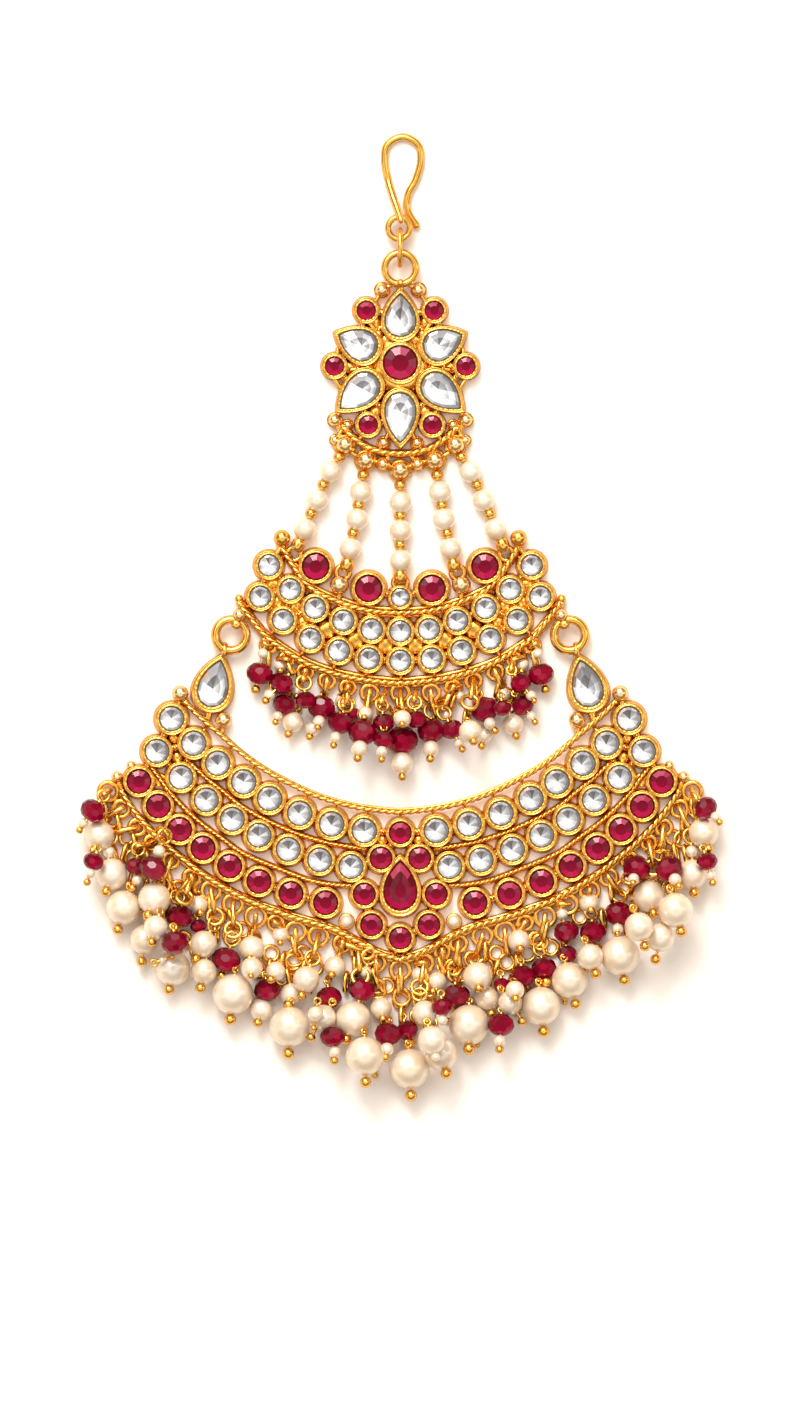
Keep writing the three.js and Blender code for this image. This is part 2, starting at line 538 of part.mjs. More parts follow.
// ---- drops of the two fringes --------------------------------------------
// A row is one drop: the piece it belongs to, the loop it hangs from, then its beads from the
// top down, each with its kind, width, across and along. A foot is the round head of the pin, at
// its bead's height. Rows come in the order they were laid down, so a later bead leans on those
// laid before it.
const FLATNESS = { ruby: 0.86, pearl: 1, foot: 1 };
const LOWER_DROPS = [
  ["drop_01", [-41.9, -28.7], [["pearl", 4.5, -45.2, -32.7]]],
  ["drop_02", [-39.5, -31.5], [["pearl", 4.7, -43.3, -38.5]]],
  ["drop_03", [-37.3, -33.8], [["ruby", 2.9, -39.7, -37.3], ["pearl", 5.1, -41.4, -43.4],
    ["foot", 1.6, -42.4, -46.7]]],
  ["drop_04", [-34.4, -36.4], [["pearl", 4.4, -38.3, -48.4]]],
  ["drop_05", [-31.3, -39.0], [["ruby", 3.8, -33.3, -44.6], ["pearl", 5.2, -34.1, -52.6],
    ["foot", 1.6, -34.7, -55.8]]],
  ["drop_06", [-25.1, -43.0], [["ruby", 4.0, -26.1, -51.2], ["pearl", 6.0, -25.1, -56.6],
    ["foot", 1.8, -25.5, -60.4]]],
  ["drop_07", [-15.7, -47.1], [["pearl", 3.3, -16.4, -56.5], ["pearl", 6.0, -16.6, -61.6],
    ["foot", 1.8, -16.8, -65.4]]],
  ["drop_08", [-8.7, -48.9], [["ruby", 3.9, -5.8, -55.6], ["pearl", 5.2, -7.1, -60.2],
    ["foot", 1.6, -8.1, -63.3]]],
  ["drop_09", [-6.3, -50.1], [["pearl", 5.8, -5.3, -65.9], ["foot", 1.7, -5.2, -69.6]]],
  ["drop_10", [0, -52.9], [["ruby", 3.3, 1.0, -61.9], ["pearl", 6.0, 1.4, -67.8],
    ["foot", 1.8, 1.6, -71.7]]],
  ["drop_11", [3.6, -51.8], [["pearl", 4.9, 6.2, -65.6]]],
  ["drop_12", [8.7, -48.9], [["ruby", 3.9, 8.4, -56.3], ["pearl", 6.0, 10.3, -61.2],
    ["foot", 1.8, 10.3, -65.0]]],
  ["drop_13", [21.7, -44.9], [["ruby", 3.6, 21.5, -52.5], ["pearl", 5.8, 21.1, -58.3],
    ["foot", 1.8, 21.5, -62.0]]],
  ["drop_14", [25.1, -43.0], [["ruby", 3.5, 24.9, -47.2], ["pearl", 5.3, 25.5, -54.5],
    ["foot", 1.6, 26.3, -57.8]]],
  ["drop_15", [31.3, -39.0], [["ruby", 3.8, 32.7, -44.4], ["pearl", 6.0, 33.0, -50.7],
    ["foot", 1.7, 33.6, -54.4]]],
  ["drop_16", [34.4, -36.4], [["ruby", 3.9, 35.4, -37.8], ["pearl", 4.8, 37.3, -41.8]]],
  ["drop_17", [41.9, -28.7], [["pearl", 4.5, 43.9, -38.4]]],
  ["drop_18", [43.8, -26.1], [["pearl", 4.5, 45.5, -32.4]]],
  ["drop_19", [-37.3, -33.8], [["ruby", 4.0, -37.0, -37.6], ["pearl", 4.8, -36.8, -42.2]]],
  ["drop_20", [-28.4, -41.0], [["pearl", 4.1, -29.5, -49.0], ["pearl", 3.9, -29.5, -53.1]]],
  ["drop_21", [3.6, -51.8], [["pearl", 3.8, 3.6, -59.3], ["pearl", 4.3, 4.7, -63.4]]],
  ["drop_22", [12.3, -47.8], [["pearl", 4.4, 11.6, -53.9], ["pearl", 3.8, 13.1, -57.1]]],
  ["drop_23", [34.4, -36.4], [["pearl", 4.3, 35.8, -46.4]]],
  ["drop_24", [37.3, -33.8], [["pearl", 4.3, 39.0, -48.0]]],
  ["drop_25", [39.5, -31.5], [["ruby", 4.0, 40.3, -37.7], ["pearl", 5.2, 41.3, -43.9],
    ["foot", 1.6, 42.2, -47.0]]],
  ["drop_26", [-12.3, -47.8], [["pearl", 4.0, -14.1, -54.3]]],
  ["lower_plate", [-43.8, -26.1], [["ruby", 3.8, -46.1, -29.0]]],
  ["lower_plate", [43.8, -26.1], [["ruby", 3.4, 45.8, -28.7]]],
  ["lower_plate", [-31.3, -39.0], [["ruby", 3.8, -33.7, -48.8]]],
  ["lower_plate", [-21.7, -44.9], [["pearl", 3.9, -22.3, -49.7], ["ruby", 3.7, -20.0, -55.8],
    ["pearl", 3.4, -20.9, -58.9]]],
  ["lower_plate", [-8.7, -48.9], [["pearl", 3.3, -9.8, -52.6], ["ruby", 3.8, -10.7, -56.9],
    ["pearl", 3.8, -11.6, -60.0], ["ruby", 3.4, -10.2, -62.9]]],
  ["lower_plate", [-3.6, -51.8], [["pearl", 3.3, -2.9, -58.6], ["ruby", 3.8, -1.9, -62.4]]],
  ["lower_plate", [18.7, -45.8], [["pearl", 3.3, 17.8, -48.7], ["ruby", 3.6, 18.3, -53.7],
    ["pearl", 3.5, 16.5, -57.8], ["ruby", 3.7, 15.1, -61.2]]],
  ["lower_plate", [28.4, -41.0], [["ruby", 3.7, 28.9, -47.1], ["pearl", 3.8, 28.5, -50.9]]],
];
const MIDDLE_DROPS = [
  ["drop_27", [-19.8, -4.2], [["ruby", 3.8, -21.1, -8.4]]],
  ["drop_28", [-11.0, -9.5], [["ruby", 3.9, -11.8, -13.5]]],
  ["drop_29", [-7.9, -10.5], [["ruby", 3.6, -9.0, -15.8]]],
  ["drop_30", [-4.6, -11.3], [["ruby", 3.9, -5.7, -17.2], ["pearl", 2.5, -6.1, -20.0]]],
  ["drop_31", [0, -11.3], [["ruby", 4.5, 0.2, -18.3], ["pearl", 3.4, 0.2, -21.9]]],
  ["drop_32", [4.6, -11.3], [["ruby", 3.9, 4.6, -16.9], ["pearl", 2.5, 4.6, -19.8]]],
  ["drop_33", [11.0, -9.5], [["ruby", 4.0, 12.7, -13.8]]],
  ["drop_34", [19.8, -4.2], [["ruby", 3.8, 21.1, -8.5]]],
  ["middle_plate", [-17.1, -6.3], [["ruby", 3.5, -17.7, -9.8], ["ruby", 3.3, -17.4, -13.3],
    ["pearl", 3.2, -16.0, -15.9]]],
  ["middle_plate", [-14.3, -8.2], [["ruby", 3.0, -14.4, -12.4]]],
  ["middle_plate", [7.9, -10.5], [["ruby", 3.2, 7.9, -16.7]]],
  ["middle_plate", [11.0, -9.5], [["pearl", 3.3, 10.5, -17.2]]],
  ["middle_plate", [14.3, -8.2], [["pearl", 3.2, 16.7, -16.3]]],
  ["middle_plate", [17.1, -6.3], [["ruby", 3.3, 18.0, -9.7], ["ruby", 3.4, 18.4, -13.2]]],
];

// balls along a stretch, close enough together to stand for a wire or rope
function ballsAlong(from, to, radius, spacing = 0.5) {
  const a = new THREE.Vector3(...from);
  const b = new THREE.Vector3(...to);
  const count = Math.max(1, Math.ceil(a.distanceTo(b) / spacing));
  return Array.from({ length: count + 1 }, (_, i) => ({ at: a.clone().lerp(b, i / count), radius }));
}

function ballsOfRoute(places, radius) {
  return places.slice(1).flatMap((place, i) => ballsAlong(places[i], place, radius));
}

function ballsOfLoops(rows) {
  return mirrored(rows).flatMap(([x, y, outer]) => {
    const r = (outer - LOOP_WIRE) / 2;
    return Array.from({ length: 12 }, (_, i) => {
      const angle = i * Math.PI / 6;
      const at = new THREE.Vector3(x + r * Math.cos(angle), y + r * Math.sin(angle), LOOP_HEIGHT);
      return { at, radius: LOOP_WIRE / 2 };
    });
  });
}

// where a drop's pin starts: inside the loop's wire if soldered, else a gap below the loop
function pinStart([x, y], loopOuter, [bx, by], soldered) {
  const toBead = new THREE.Vector2(bx - x, by - y);
  const reach = soldered ? (loopOuter - LOOP_WIRE) / 2 : loopOuter / 2 + PIN_WIRE / 2 + PIECE_GAP;
  const offset = Math.min(reach, toBead.length());
  toBead.normalize().multiplyScalar(offset);
  return [x + toBead.x, y + toBead.y, LOOP_HEIGHT];
}

function dropBalls(start, beads, heights) {
  const stops = [[start[0], start[1]], ...beads.map(([, , x, y]) => [x, y])]
    .map(([x, y], i) => [x, y, heights[i]]);
  const balls = beads.map(([, width], i) => ({
    at: new THREE.Vector3(...stops[i + 1]),
    radius: width / 2,
    lifts: beads[i + 1]?.[0] === "foot" ? [i + 1, i + 2] : [i + 1],
  }));
  stops.slice(1).forEach((stop, i) => {
    const pin = ballsAlong(stops[i], stop, PIN_WIRE / 2);
    balls.push(...pin.map((ball) => ({ ...ball, lifts: [i, i + 1] })));
  });
  return balls;
}

// heights at which a drop's start and beads clear everything laid down before them
function settledHeights(start, beads, laid, soldered) {
  const lowest = ([kind, width], i) => (kind === "foot" ? beads[i - 1][1] : width) / 2 + FLOOR_CLEAR;
  const heights = [start[2], ...beads.map(lowest)];
  const foot = new THREE.Vector3(...start);
  const counts = (ball) => !soldered || ball.at.distanceTo(foot) > 1.3;
  for (let step = 0; step < 900; step += 1) {
    const hit = dropBalls(start, beads, heights).filter(counts).find((ball) =>
      laid.some((other) => ball.at.distanceTo(other.at) < ball.radius + other.radius + REST_GAP));
    if (!hit) return heights;
    for (const i of hit.lifts) {
      if (i > 0 || !soldered) heights[i] += 0.05;
    }
  }
  throw new Error(`a drop at ${start} found no place to rest`);
}

function layDrops(rows, loopRows, plateName, obstacles) {
  const laid = [...obstacles];
  const pieces = {};
  for (const [name, loop, beads] of rows) {
    const [, , outer] = mirrored(loopRows).find(([x, y]) => x === loop[0] && y === loop[1]);
    const soldered = name === plateName;
    const start = pinStart(loop, outer, beads[0].slice(2), soldered);
    const heights = settledHeights(start, beads, laid, soldered);
    laid.push(...dropBalls(start, beads, heights));
    const [startHeight, ...beadHeights] = heights;
    const centres = beads.map(([, , x, y], i) => [x, y, beadHeights[i]]);
    const solids = beads.map(([kind, width], i) => bead(...centres[i], width, FLATNESS[kind]));
    const stops = [[start[0], start[1], startHeight], ...centres];
    centres.forEach((centre, i) => solids.push(wire(stops[i], centre, PIN_WIRE)));
    pieces[name] = [...(pieces[name] ?? []), ...solids];
  }
  return pieces;
}

function addDrops(pieces, plateName) {
  for (const [name, solids] of Object.entries(pieces)) {
    if (name !== plateName) addPiece(name, joined(solids), "pearl");
  }
}
const middleObstacles = [
  ...ballsOfLoops(MIDDLE_LOOPS),
  ...ballsOfRoute(mirroredRoute(MIDDLE_LOWER_ROPE, ROPE_HEIGHT), 0.6),
];
const lowerObstacles = [
  ...ballsOfLoops(LOWER_LOOPS),
  ...ballsOfRoute(mirroredRoute(LOWER_ROPE, ROPE_HEIGHT), 0.6),
];
const middleDrops = layDrops(MIDDLE_DROPS, MIDDLE_LOOPS, "middle_plate", middleObstacles);
const lowerDrops = layDrops(LOWER_DROPS, LOWER_LOOPS, "lower_plate", lowerObstacles);
addPiece("middle_plate", joined([...middlePlate(), ...middleDrops.middle_plate]), "gold");
const lowerSolid = joined([...lowerPlate(), ...lowerDrops.lower_plate]);
addPiece("lower_plate", lowerSolid.subtract(joined(lowerSeats())), "gold");
addDrops(middleDrops, "middle_plate");
addDrops(lowerDrops, "lower_plate");

export default group;
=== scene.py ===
import math
import random

import bmesh
import bpy
import numpy as np
from mathutils import Matrix, Vector
from mathutils.bvhtree import BVHTree


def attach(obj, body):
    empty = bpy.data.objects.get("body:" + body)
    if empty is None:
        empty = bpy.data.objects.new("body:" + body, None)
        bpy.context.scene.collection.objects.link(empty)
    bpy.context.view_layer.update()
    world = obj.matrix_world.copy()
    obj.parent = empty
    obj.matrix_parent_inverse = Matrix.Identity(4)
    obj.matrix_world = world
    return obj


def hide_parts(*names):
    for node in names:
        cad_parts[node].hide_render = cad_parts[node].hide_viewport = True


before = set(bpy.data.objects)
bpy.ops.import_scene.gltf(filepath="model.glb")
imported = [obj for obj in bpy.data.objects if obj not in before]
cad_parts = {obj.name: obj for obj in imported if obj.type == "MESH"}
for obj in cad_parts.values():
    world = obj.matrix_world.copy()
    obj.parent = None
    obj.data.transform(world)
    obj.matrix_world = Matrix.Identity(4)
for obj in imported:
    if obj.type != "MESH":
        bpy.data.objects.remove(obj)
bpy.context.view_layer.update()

# A jhoomar, lying on its back with its front up. Lengths are millimetres until a piece is made.
MM = 0.001
shuffle = random.Random(7)
FULL_TURN = 2 * math.pi
SIDES = ((-1, "left"), (1, "right"))

# ---- sizes -----------------------------------------------------------------
SETTING_HEIGHT = 2.1
STONE_SEAT = 0.34  # how far a round stone's edge lies below its rim
PLATE_FOOT = 0.3  # how far the foot of a crescent's setting stands out
ROPE_WIDTH = 1.05
ROPE_HEIGHT = 1.0
ROPE_PITCH = 2.3
ROPE_STATIONS = 12  # steps in one twist of a rope
LOOP_WIRE = 0.78
LOOP_HEIGHT = 0.9
HANGING_HEIGHT = LOOP_HEIGHT + 0.3  # where links hang in the loops
HEAVY_WIRE = 1.1
RING_HEIGHT = 1.92
LINK_HEIGHT = 1.95
LINK_WIRE = 0.9
LINK_WIDTH = 2.0
LONGEST_LINK = 4.3
SECOND_WIRE = 0.66
SECOND_RING = 3.1
EYE_WIRE = 0.38
PIN_WIRE = 0.4
LOW_CHAIN = 0.6
SMALL_EYE = 1.35
LARGE_EYE = 2.7
STRING_PEARL = 3.4
STRING_HEIGHT = 1.72
SEED = 2.6  # pearls below this width are seeds
FLOOR_CLEAR = 0.02


# ---- shader work -------------------------------------------------------------
class Value:
    """A socket that takes part in sums: an expression on values adds its Math nodes."""

    def __init__(self, bench, socket):
        self.bench = bench
        self.socket = socket

    def _math(self, operation, *terms):
        return self.bench.node("ShaderNodeMath", {"operation": operation}, dict(enumerate(terms)))

    def __add__(self, other):
        return self._math("ADD", self, other)

    def __radd__(self, other):
        return self._math("ADD", other, self)

    def __mul__(self, other):
        return self._math("MULTIPLY", self, other)

    def __rmul__(self, other):
        return self._math("MULTIPLY", other, self)


class Bench:
    """The node tree of one finish."""

    def __init__(self, tree):
        self.tree = tree
        tree.nodes.clear()

    def node(self, kind, settings=None, inputs=None, output=0):
        """Adds a node: its settings first, then the values or links of its sockets."""
        made = self.tree.nodes.new(kind)
        for name, setting in (settings or {}).items():
            if name == "stops":
                elements = made.color_ramp.elements
                while len(elements) < len(setting):
                    elements.new(0.5)
                for element, (position, tint) in zip(elements, setting):
                    element.position = position
                    element.color = (*tint, 1)
            else:
                setattr(made, name, setting)
        for name, value in (inputs or {}).items():
            if isinstance(value, Value):
                self.tree.links.new(value.socket, made.inputs[name])
            else:
                made.inputs[name].default_value = value
        return Value(self, made.outputs[output]) if len(made.outputs) else made

    def noise(self, scale, detail=3, roughness=0.5):
        """Cloudy noise in object space; scale counts lumps per millimetre."""
        where = self.node("ShaderNodeTexCoord", output=3)
        return self.node("ShaderNodeTexNoise", {"noise_dimensions": "3D"}, {
            "Vector": where, "Scale": scale / MM, "Detail": detail, "Roughness": roughness})

    def ramp(self, value, stops):
        """Colours at their positions, with the ones between blended."""
        return self.node("ShaderNodeValToRGB", {"stops": stops}, {"Fac": value})

    def mix(self, factor, first, second):
        """Mixes two colours."""
        return self.node("ShaderNodeMix", {"data_type": "RGBA"}, {0: factor, 6: first, 7: second}, 2)

    def bump(self, height, strength, depth):
        """Relief in the shading, its depth in millimetres."""
        return self.node("ShaderNodeBump", None, {
            "Strength": strength, "Distance": depth * MM, "Height": height})

    def painted_facet_tone(self):
        """The tone that each cut stone's facet was given when it was made: its painted reflections, highlights,
        glow and shade, with a random part.
        """
        return self.node("ShaderNodeAttribute", {"attribute_name": "tone"}, output=2)


def fit(value, low, high):
    """Stretches a value of 0 to 1 over a range."""
    return value * (high - low) + low


def finish(name, build):
    """A material; build gives the values and links of its shader."""
    material = bpy.data.materials.new(name)
    material.use_nodes = True
    bench = Bench(material.node_tree)
    shader = bench.node("ShaderNodeBsdfPrincipled", None, build(bench))
    bench.node("ShaderNodeOutputMaterial", None, {"Surface": shader})
    return material


def colour(red, green, blue):
    return (red, green, blue, 1)


def gold_build(warm, pale, roughness, depth):
    """Polished gold: two tones, hand-worked dents of a depth, and an uneven polish."""
    def build(bench):
        broad = bench.noise(0.35)
        fine = bench.noise(5.0, 4, 0.6)
        return {
            "Base Color": bench.mix(broad, colour(*warm), colour(*pale)),
            "Metallic": 1.0,
            "Roughness": fit(fine, *roughness),
            # a dark edge tint that paints shade along the gold's edges
            "Specular Tint": colour(0.5, 0.2, 0.04),
            "Coat Weight": 0.6,
            "Coat Roughness": 0.12,
            "Coat IOR": 1.8,
            "Normal": bench.bump(bench.noise(1.5, 2) * 0.85 + fine * 0.15, 0.3, depth),
        }
    return build


def stone_build(stops, lumps, cloudy, roughness, more):
    """A cut stone: its facets' tones, which carry painted reflections, highlights, glow and shade, with a
    little cloud, through a row of colours.
    """
    def build(bench):
        cloud = bench.noise(lumps)
        return {
            "Base Color": bench.ramp(bench.painted_facet_tone() * (1 - cloudy) + cloud * cloudy, stops),
            "Roughness": fit(cloud, *roughness),
            **more,
        }
    return build


def pearl_build(bench):
    lustre = bench.noise(0.22, 2)
    skin = bench.noise(9.0, 3)
    return {
        "Base Color": bench.ramp(lustre, [
            (0.25, (0.80, 0.595, 0.38)), (0.5, (0.82, 0.655, 0.465)), (0.75, (0.84, 0.715, 0.56))]),
        "Metallic": 0.18,
        "Sheen Weight": 0.25,
        "Sheen Roughness": 0.4,
        "Sheen Tint": colour(1.0, 0.75, 0.5),
        "Roughness": fit(skin, 0.32, 0.4),
        "Specular IOR Level": 0.7,
        "IOR": 1.65,
        "Coat Weight": 0.9,
        "Coat Roughness": 0.19,
        "Coat IOR": 1.9,
        "Normal": bench.bump(skin, 0.05, 0.02),
    }


GOLD = finish("polished gold", gold_build((0.87, 0.42, 0.033), (0.89, 0.49, 0.07), (0.2, 0.3), 0.13))
PALE_GOLD = finish("pale gold", gold_build((0.96, 0.60, 0.22), (0.98, 0.66, 0.30), (0.22, 0.3), 0.02))
# the dark tones are painted shade on the facets along the setting, the first one a painted reflection of its
# gold; the light ones are painted white reflections
CLEAR = finish("foiled clear stone", stone_build([
    (0.05, (0.55, 0.27, 0.11)), (0.12, (0.09, 0.07, 0.06)), (0.35, (0.14, 0.135, 0.14)),
    (0.6, (0.36, 0.35, 0.345)), (0.85, (0.82, 0.81, 0.80))], 0.9, 0.08, (0.08, 0.16), {
        "Metallic": 0.15, "Coat Weight": 1.0, "Coat Roughness": 0.03, "IOR": 1.5}))
# the low tones are painted shade at the edge, the high ones the painted glow of the lower facets and, last, the
# painted reflection in the top facet
SET_RUBY = finish("set ruby", stone_build([
    (0.05, (0.03, 0.0, 0.002)), (0.3, (0.11, 0.001, 0.009)), (0.5, (0.19, 0.002, 0.018)),
    (0.8, (0.48, 0.0, 0.062)), (0.95, (0.30, 0.035, 0.06))], 0.8, 0.06, (0.08, 0.14), {
        "Specular IOR Level": 0.18, "Coat Weight": 0.12, "Coat Roughness": 0.05}))
# the high tones are the painted glow on the facets that face away from the light
RUBY_BEAD = finish("ruby bead", stone_build([
    (0.1, (0.04, 0.0, 0.002)), (0.4, (0.14, 0.0, 0.009)), (0.7, (0.30, 0.0, 0.022)),
    (0.95, (0.52, 0.0, 0.06))], 0.45, 0.2, (0.1, 0.18), {
        "Specular IOR Level": 0.15, "Coat Weight": 0.15, "Coat Roughness": 0.06}))
PEARL = finish("pearl", pearl_build)


# ---- shapes --------------------------------------------------------------------
# A shape is its points and its faces, grouped by their number of corners.
class Shape:
    def __init__(self, points, faces, smooth=True, tones=None):
        self.points = np.asarray(points, float)
        self.faces = [np.asarray(group, int) for group in faces if len(group)]
        self.smooth = smooth
        self.tones = tones

    def moved(self, x=0.0, y=0.0, z=0.0, axis=None, spin=0.0):
        """Turned by spin about its own Z, laid with Z along an axis, and carried to a place."""
        turn = Matrix.Rotation(spin, 3, "Z")
        if axis is not None:
            turn = Vector(axis).to_track_quat("Z", "Y").to_matrix() @ turn
        points = self.points @ np.array(turn).T + (x, y, z)
        return Shape(points, self.faces, self.smooth, self.tones)


def round_steps(count):
    """Angles that share out one full turn."""
    return np.arange(count) / count * FULL_TURN


def grid_faces(rows, columns, closed=False):
    """Four-cornered faces of rings of points laid row by row; closed joins the last ring to the first."""
    i, j = np.meshgrid(np.arange(rows if closed else rows - 1), np.arange(columns), indexing="ij")
    here, after = i.ravel() * columns, (i.ravel() + 1) % rows * columns
    j, j_next = j.ravel(), (j.ravel() + 1) % columns
    return np.stack([here + j, here + j_next, after + j_next, after + j], 1)


def capped(rings, sides):
    """A solid of rings of points from the bottom up, closed by a flat face at each end."""
    around = np.arange(sides)
    faces = [grid_faces(len(rings), sides), around[None, ::-1], (len(rings) - 1) * sides + around[None, :]]
    return Shape(np.concatenate(rings), faces)


def turned(profile, sides):
    """A turned shape: radii and heights from the bottom up, about Z."""
    a = round_steps(sides)
    return capped([np.stack([r * np.cos(a), r * np.sin(a), np.full(sides, h)], 1) for r, h in profile], sides)


def ball(width, sides, bands, flat=1.0):
    """A ball about Z, or a flattened one, with a tiny flat at each pole."""
    lift = np.linspace(-math.pi / 2, math.pi / 2, bands + 1)
    lift[0] += 0.5 * math.pi / bands / 4
    lift[-1] -= 0.5 * math.pi / bands / 4
    r = width / 2
    return turned([(r * math.cos(a), r * flat * math.sin(a)) for a in lift], sides)


def hoop(outer, wire, sides, stations, long=1.0):
    """A ring of round wire about Z; long stretches it along Y."""
    middle, r = (outer - wire) / 2, wire / 2
    stretch = (outer * long - wire) / (outer - wire)
    a, b = np.meshgrid(round_steps(stations), round_steps(sides), indexing="ij")
    across = np.cos(a) * (middle + r * np.cos(b))
    along = np.sin(a) * (middle * stretch + r * np.cos(b))
    points = np.stack([across, along, r * np.sin(b)], -1)
    return Shape(points.reshape(-1, 3), [grid_faces(stations, sides, True)])


def unit(vector):
    return vector / np.linalg.norm(vector)


def tube(path, wire, sides=8, round_ends=True):
    """Round wire along a row of places."""
    path = np.asarray(path, float)
    radii = np.full(len(path), wire / 2)
    if round_ends:
        first = unit(path[0] - path[1]) * wire / 2
        last = unit(path[-1] - path[-2]) * wire / 2
        path = np.vstack([
            path[0] + first * 0.95, path[0] + first * 0.6, path, path[-1] + last * 0.6, path[-1] + last * 0.95])
        radii = np.concatenate([[wire * 0.15, wire * 0.4], radii, [wire * 0.4, wire * 0.15]])
    along = np.gradient(path, axis=0)
    along /= np.linalg.norm(along, axis=1)[:, None]
    side = np.cross(along[0], (0, 0, 1))
    if np.linalg.norm(side) < 0.1:
        side = np.cross(along[0], (0, 1, 0))
    side = unit(side)
    across = round_steps(sides)
    rows = []
    for here, direction, r in zip(path, along, radii):
        side = unit(side - direction * side.dot(direction))
        up = np.cross(side, direction)
        rows.append(here + r * (np.cos(across)[:, None] * side + np.sin(across)[:, None] * up))
    count = len(path)
    caps = [np.arange(sides)[None, :], ((count - 1) * sides + np.arange(sides))[None, ::-1]]
    return Shape(np.concatenate(rows), [grid_faces(count, sides)[:, ::-1], *caps])


def flowing(places, step):
    """Evenly spaced places on a smooth curve through the given ones."""
    places = np.asarray(places, float)
    ends = np.vstack([2 * places[0] - places[1], places, 2 * places[-1] - places[-2]])
    fine = []
    for a, b, c, d in zip(ends, ends[1:], ends[2:], ends[3:]):
        bend, twist = 2 * a - 5 * b + 4 * c - d, 3 * b - a - 3 * c + d
        for t in np.arange(16) / 16:
            fine.append(0.5 * (2 * b + (c - a) * t + bend * t ** 2 + twist * t ** 3))
    fine = np.array(fine + [places[-1]])
    reach = np.concatenate([[0], np.cumsum(np.linalg.norm(np.diff(fine, axis=0), axis=1))])
    wanted = np.linspace(0, reach[-1], max(2, round(reach[-1] / step) + 1))
    return np.stack([np.interp(wanted, reach, fine[:, k]) for k in range(3)], 1)


def rope(places, width, height, pitch=ROPE_PITCH):
    """Two strands twisted about a flat route."""
    line = flowing([(x, y, height) for x, y in places], pitch / ROPE_STATIONS)
    along = np.gradient(line, axis=0)
    along /= np.linalg.norm(along, axis=1)[:, None]
    side = np.cross(along, (0, 0, 1))
    up = np.array([0, 0, 1.0])
    turn = np.arange(len(line)) / ROPE_STATIONS * FULL_TURN
    strand = width * 0.66
    shift = (width - strand) / 2
    shapes = []
    for start in (0, math.pi):
        wave = shift * (np.cos(turn + start)[:, None] * side + np.sin(turn + start)[:, None] * up)
        shapes.append(tube(line + wave, strand, 7, round_ends=False))
    return shapes


def cut_stone(planes):
    """The solid left by grinding flats: each plane is its outward direction and its distance."""
    directions = np.array([unit(np.array(n, float)) for n, _ in planes])
    distances = np.array([d for _, d in planes])
    dual = bmesh.new()
    vertices = [dual.verts.new(n / d) for n, d in zip(directions, distances)]
    dual.verts.index_update()
    bmesh.ops.convex_hull(dual, input=vertices)
    corners = []
    touching = [[] for _ in planes]
    for face in dual.faces:
        trio = [vertex.index for vertex in face.verts]
        try:
            corner = np.linalg.solve(directions[trio], distances[trio])
        except np.linalg.LinAlgError:
            continue
        for index, known in enumerate(corners):
            if np.linalg.norm(known - corner) < 1e-4:
                break
        else:
            index = len(corners)
            corners.append(corner)
        for k in trio:
            if index not in touching[k]:
                touching[k].append(index)
    dual.free()
    corners = np.array(corners)
    faces = []
    for n, group in zip(directions, touching):
        if len(group) < 3:
            continue
        centre = corners[group].mean(axis=0)
        right = unit(corners[group[0]] - centre)
        up = np.cross(n, right)
        angles = [math.atan2((corners[k] - centre).dot(up), (corners[k] - centre).dot(right)) for k in group]
        faces.append([k for _, k in sorted(zip(angles, group))])
    return Shape(corners, [[f] for f in faces], False)


def place_piece(name, shapes, material, slot, *nodes):
    """Makes one piece of the ornament from its shapes; nodes are the solids that it stands for."""
    points, corners, sizes, smooth, tones = [], [], [], [], []
    count = 0
    for shape in shapes:
        points.append(shape.points)
        for number, group in enumerate(shape.faces):
            corners.append((group + count).ravel())
            sizes.append(np.full(len(group), group.shape[1]))
            smooth.append(np.full(len(group), shape.smooth))
            tone = 0.5 if shape.tones is None else shape.tones[number]
            tones.append(np.broadcast_to(tone, group.shape).ravel())
        count += len(shape.points)
    points = np.concatenate(points) * MM
    corners = np.concatenate(corners)
    sizes = np.concatenate(sizes)
    mesh = bpy.data.meshes.new(name)
    mesh.vertices.add(len(points))
    mesh.vertices.foreach_set("co", points.ravel())
    mesh.loops.add(len(corners))
    mesh.loops.foreach_set("vertex_index", corners)
    mesh.polygons.add(len(sizes))
    mesh.polygons.foreach_set("loop_start", np.concatenate([[0], np.cumsum(sizes)[:-1]]))
    mesh.polygons.foreach_set("use_smooth", np.concatenate(smooth))
    mesh.update(calc_edges=True)
    # the tone on each face carries the painted reflections, highlights, glow and shade of the cut stones and
    # beads
    mesh.attributes.new("tone", "FLOAT", "CORNER").data.foreach_set("value", np.concatenate(tones))
    mesh.materials.append(material)
    piece = bpy.data.objects.new(name, mesh)
    bpy.context.scene.collection.objects.link(piece)
    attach(piece, "root")
    if nodes:
        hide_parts(*nodes)


def place_gold(name, metal, *nodes):
    place_piece(name, metal, GOLD, "gold", *nodes)


def place_pale_gold(name, metal, *nodes):
    place_piece(name, metal, PALE_GOLD, "gold", *nodes)


def place_crystals(name, stones, *nodes):
    place_piece(name, stones, CLEAR, "clear_stone", *nodes)


def place_rubies(name, stones, *nodes):
    place_piece(name, stones, SET_RUBY, "ruby", *nodes)


def place_pearls(name, pearls, *nodes):
    place_piece(name, pearls, PEARL, "beads", *nodes)


def both_sides(rows):
    """Rows that begin with a place across, and their mirror images."""
    return list(rows) + [(-row[0], *row[1:]) for row in rows if row[0] != 0]


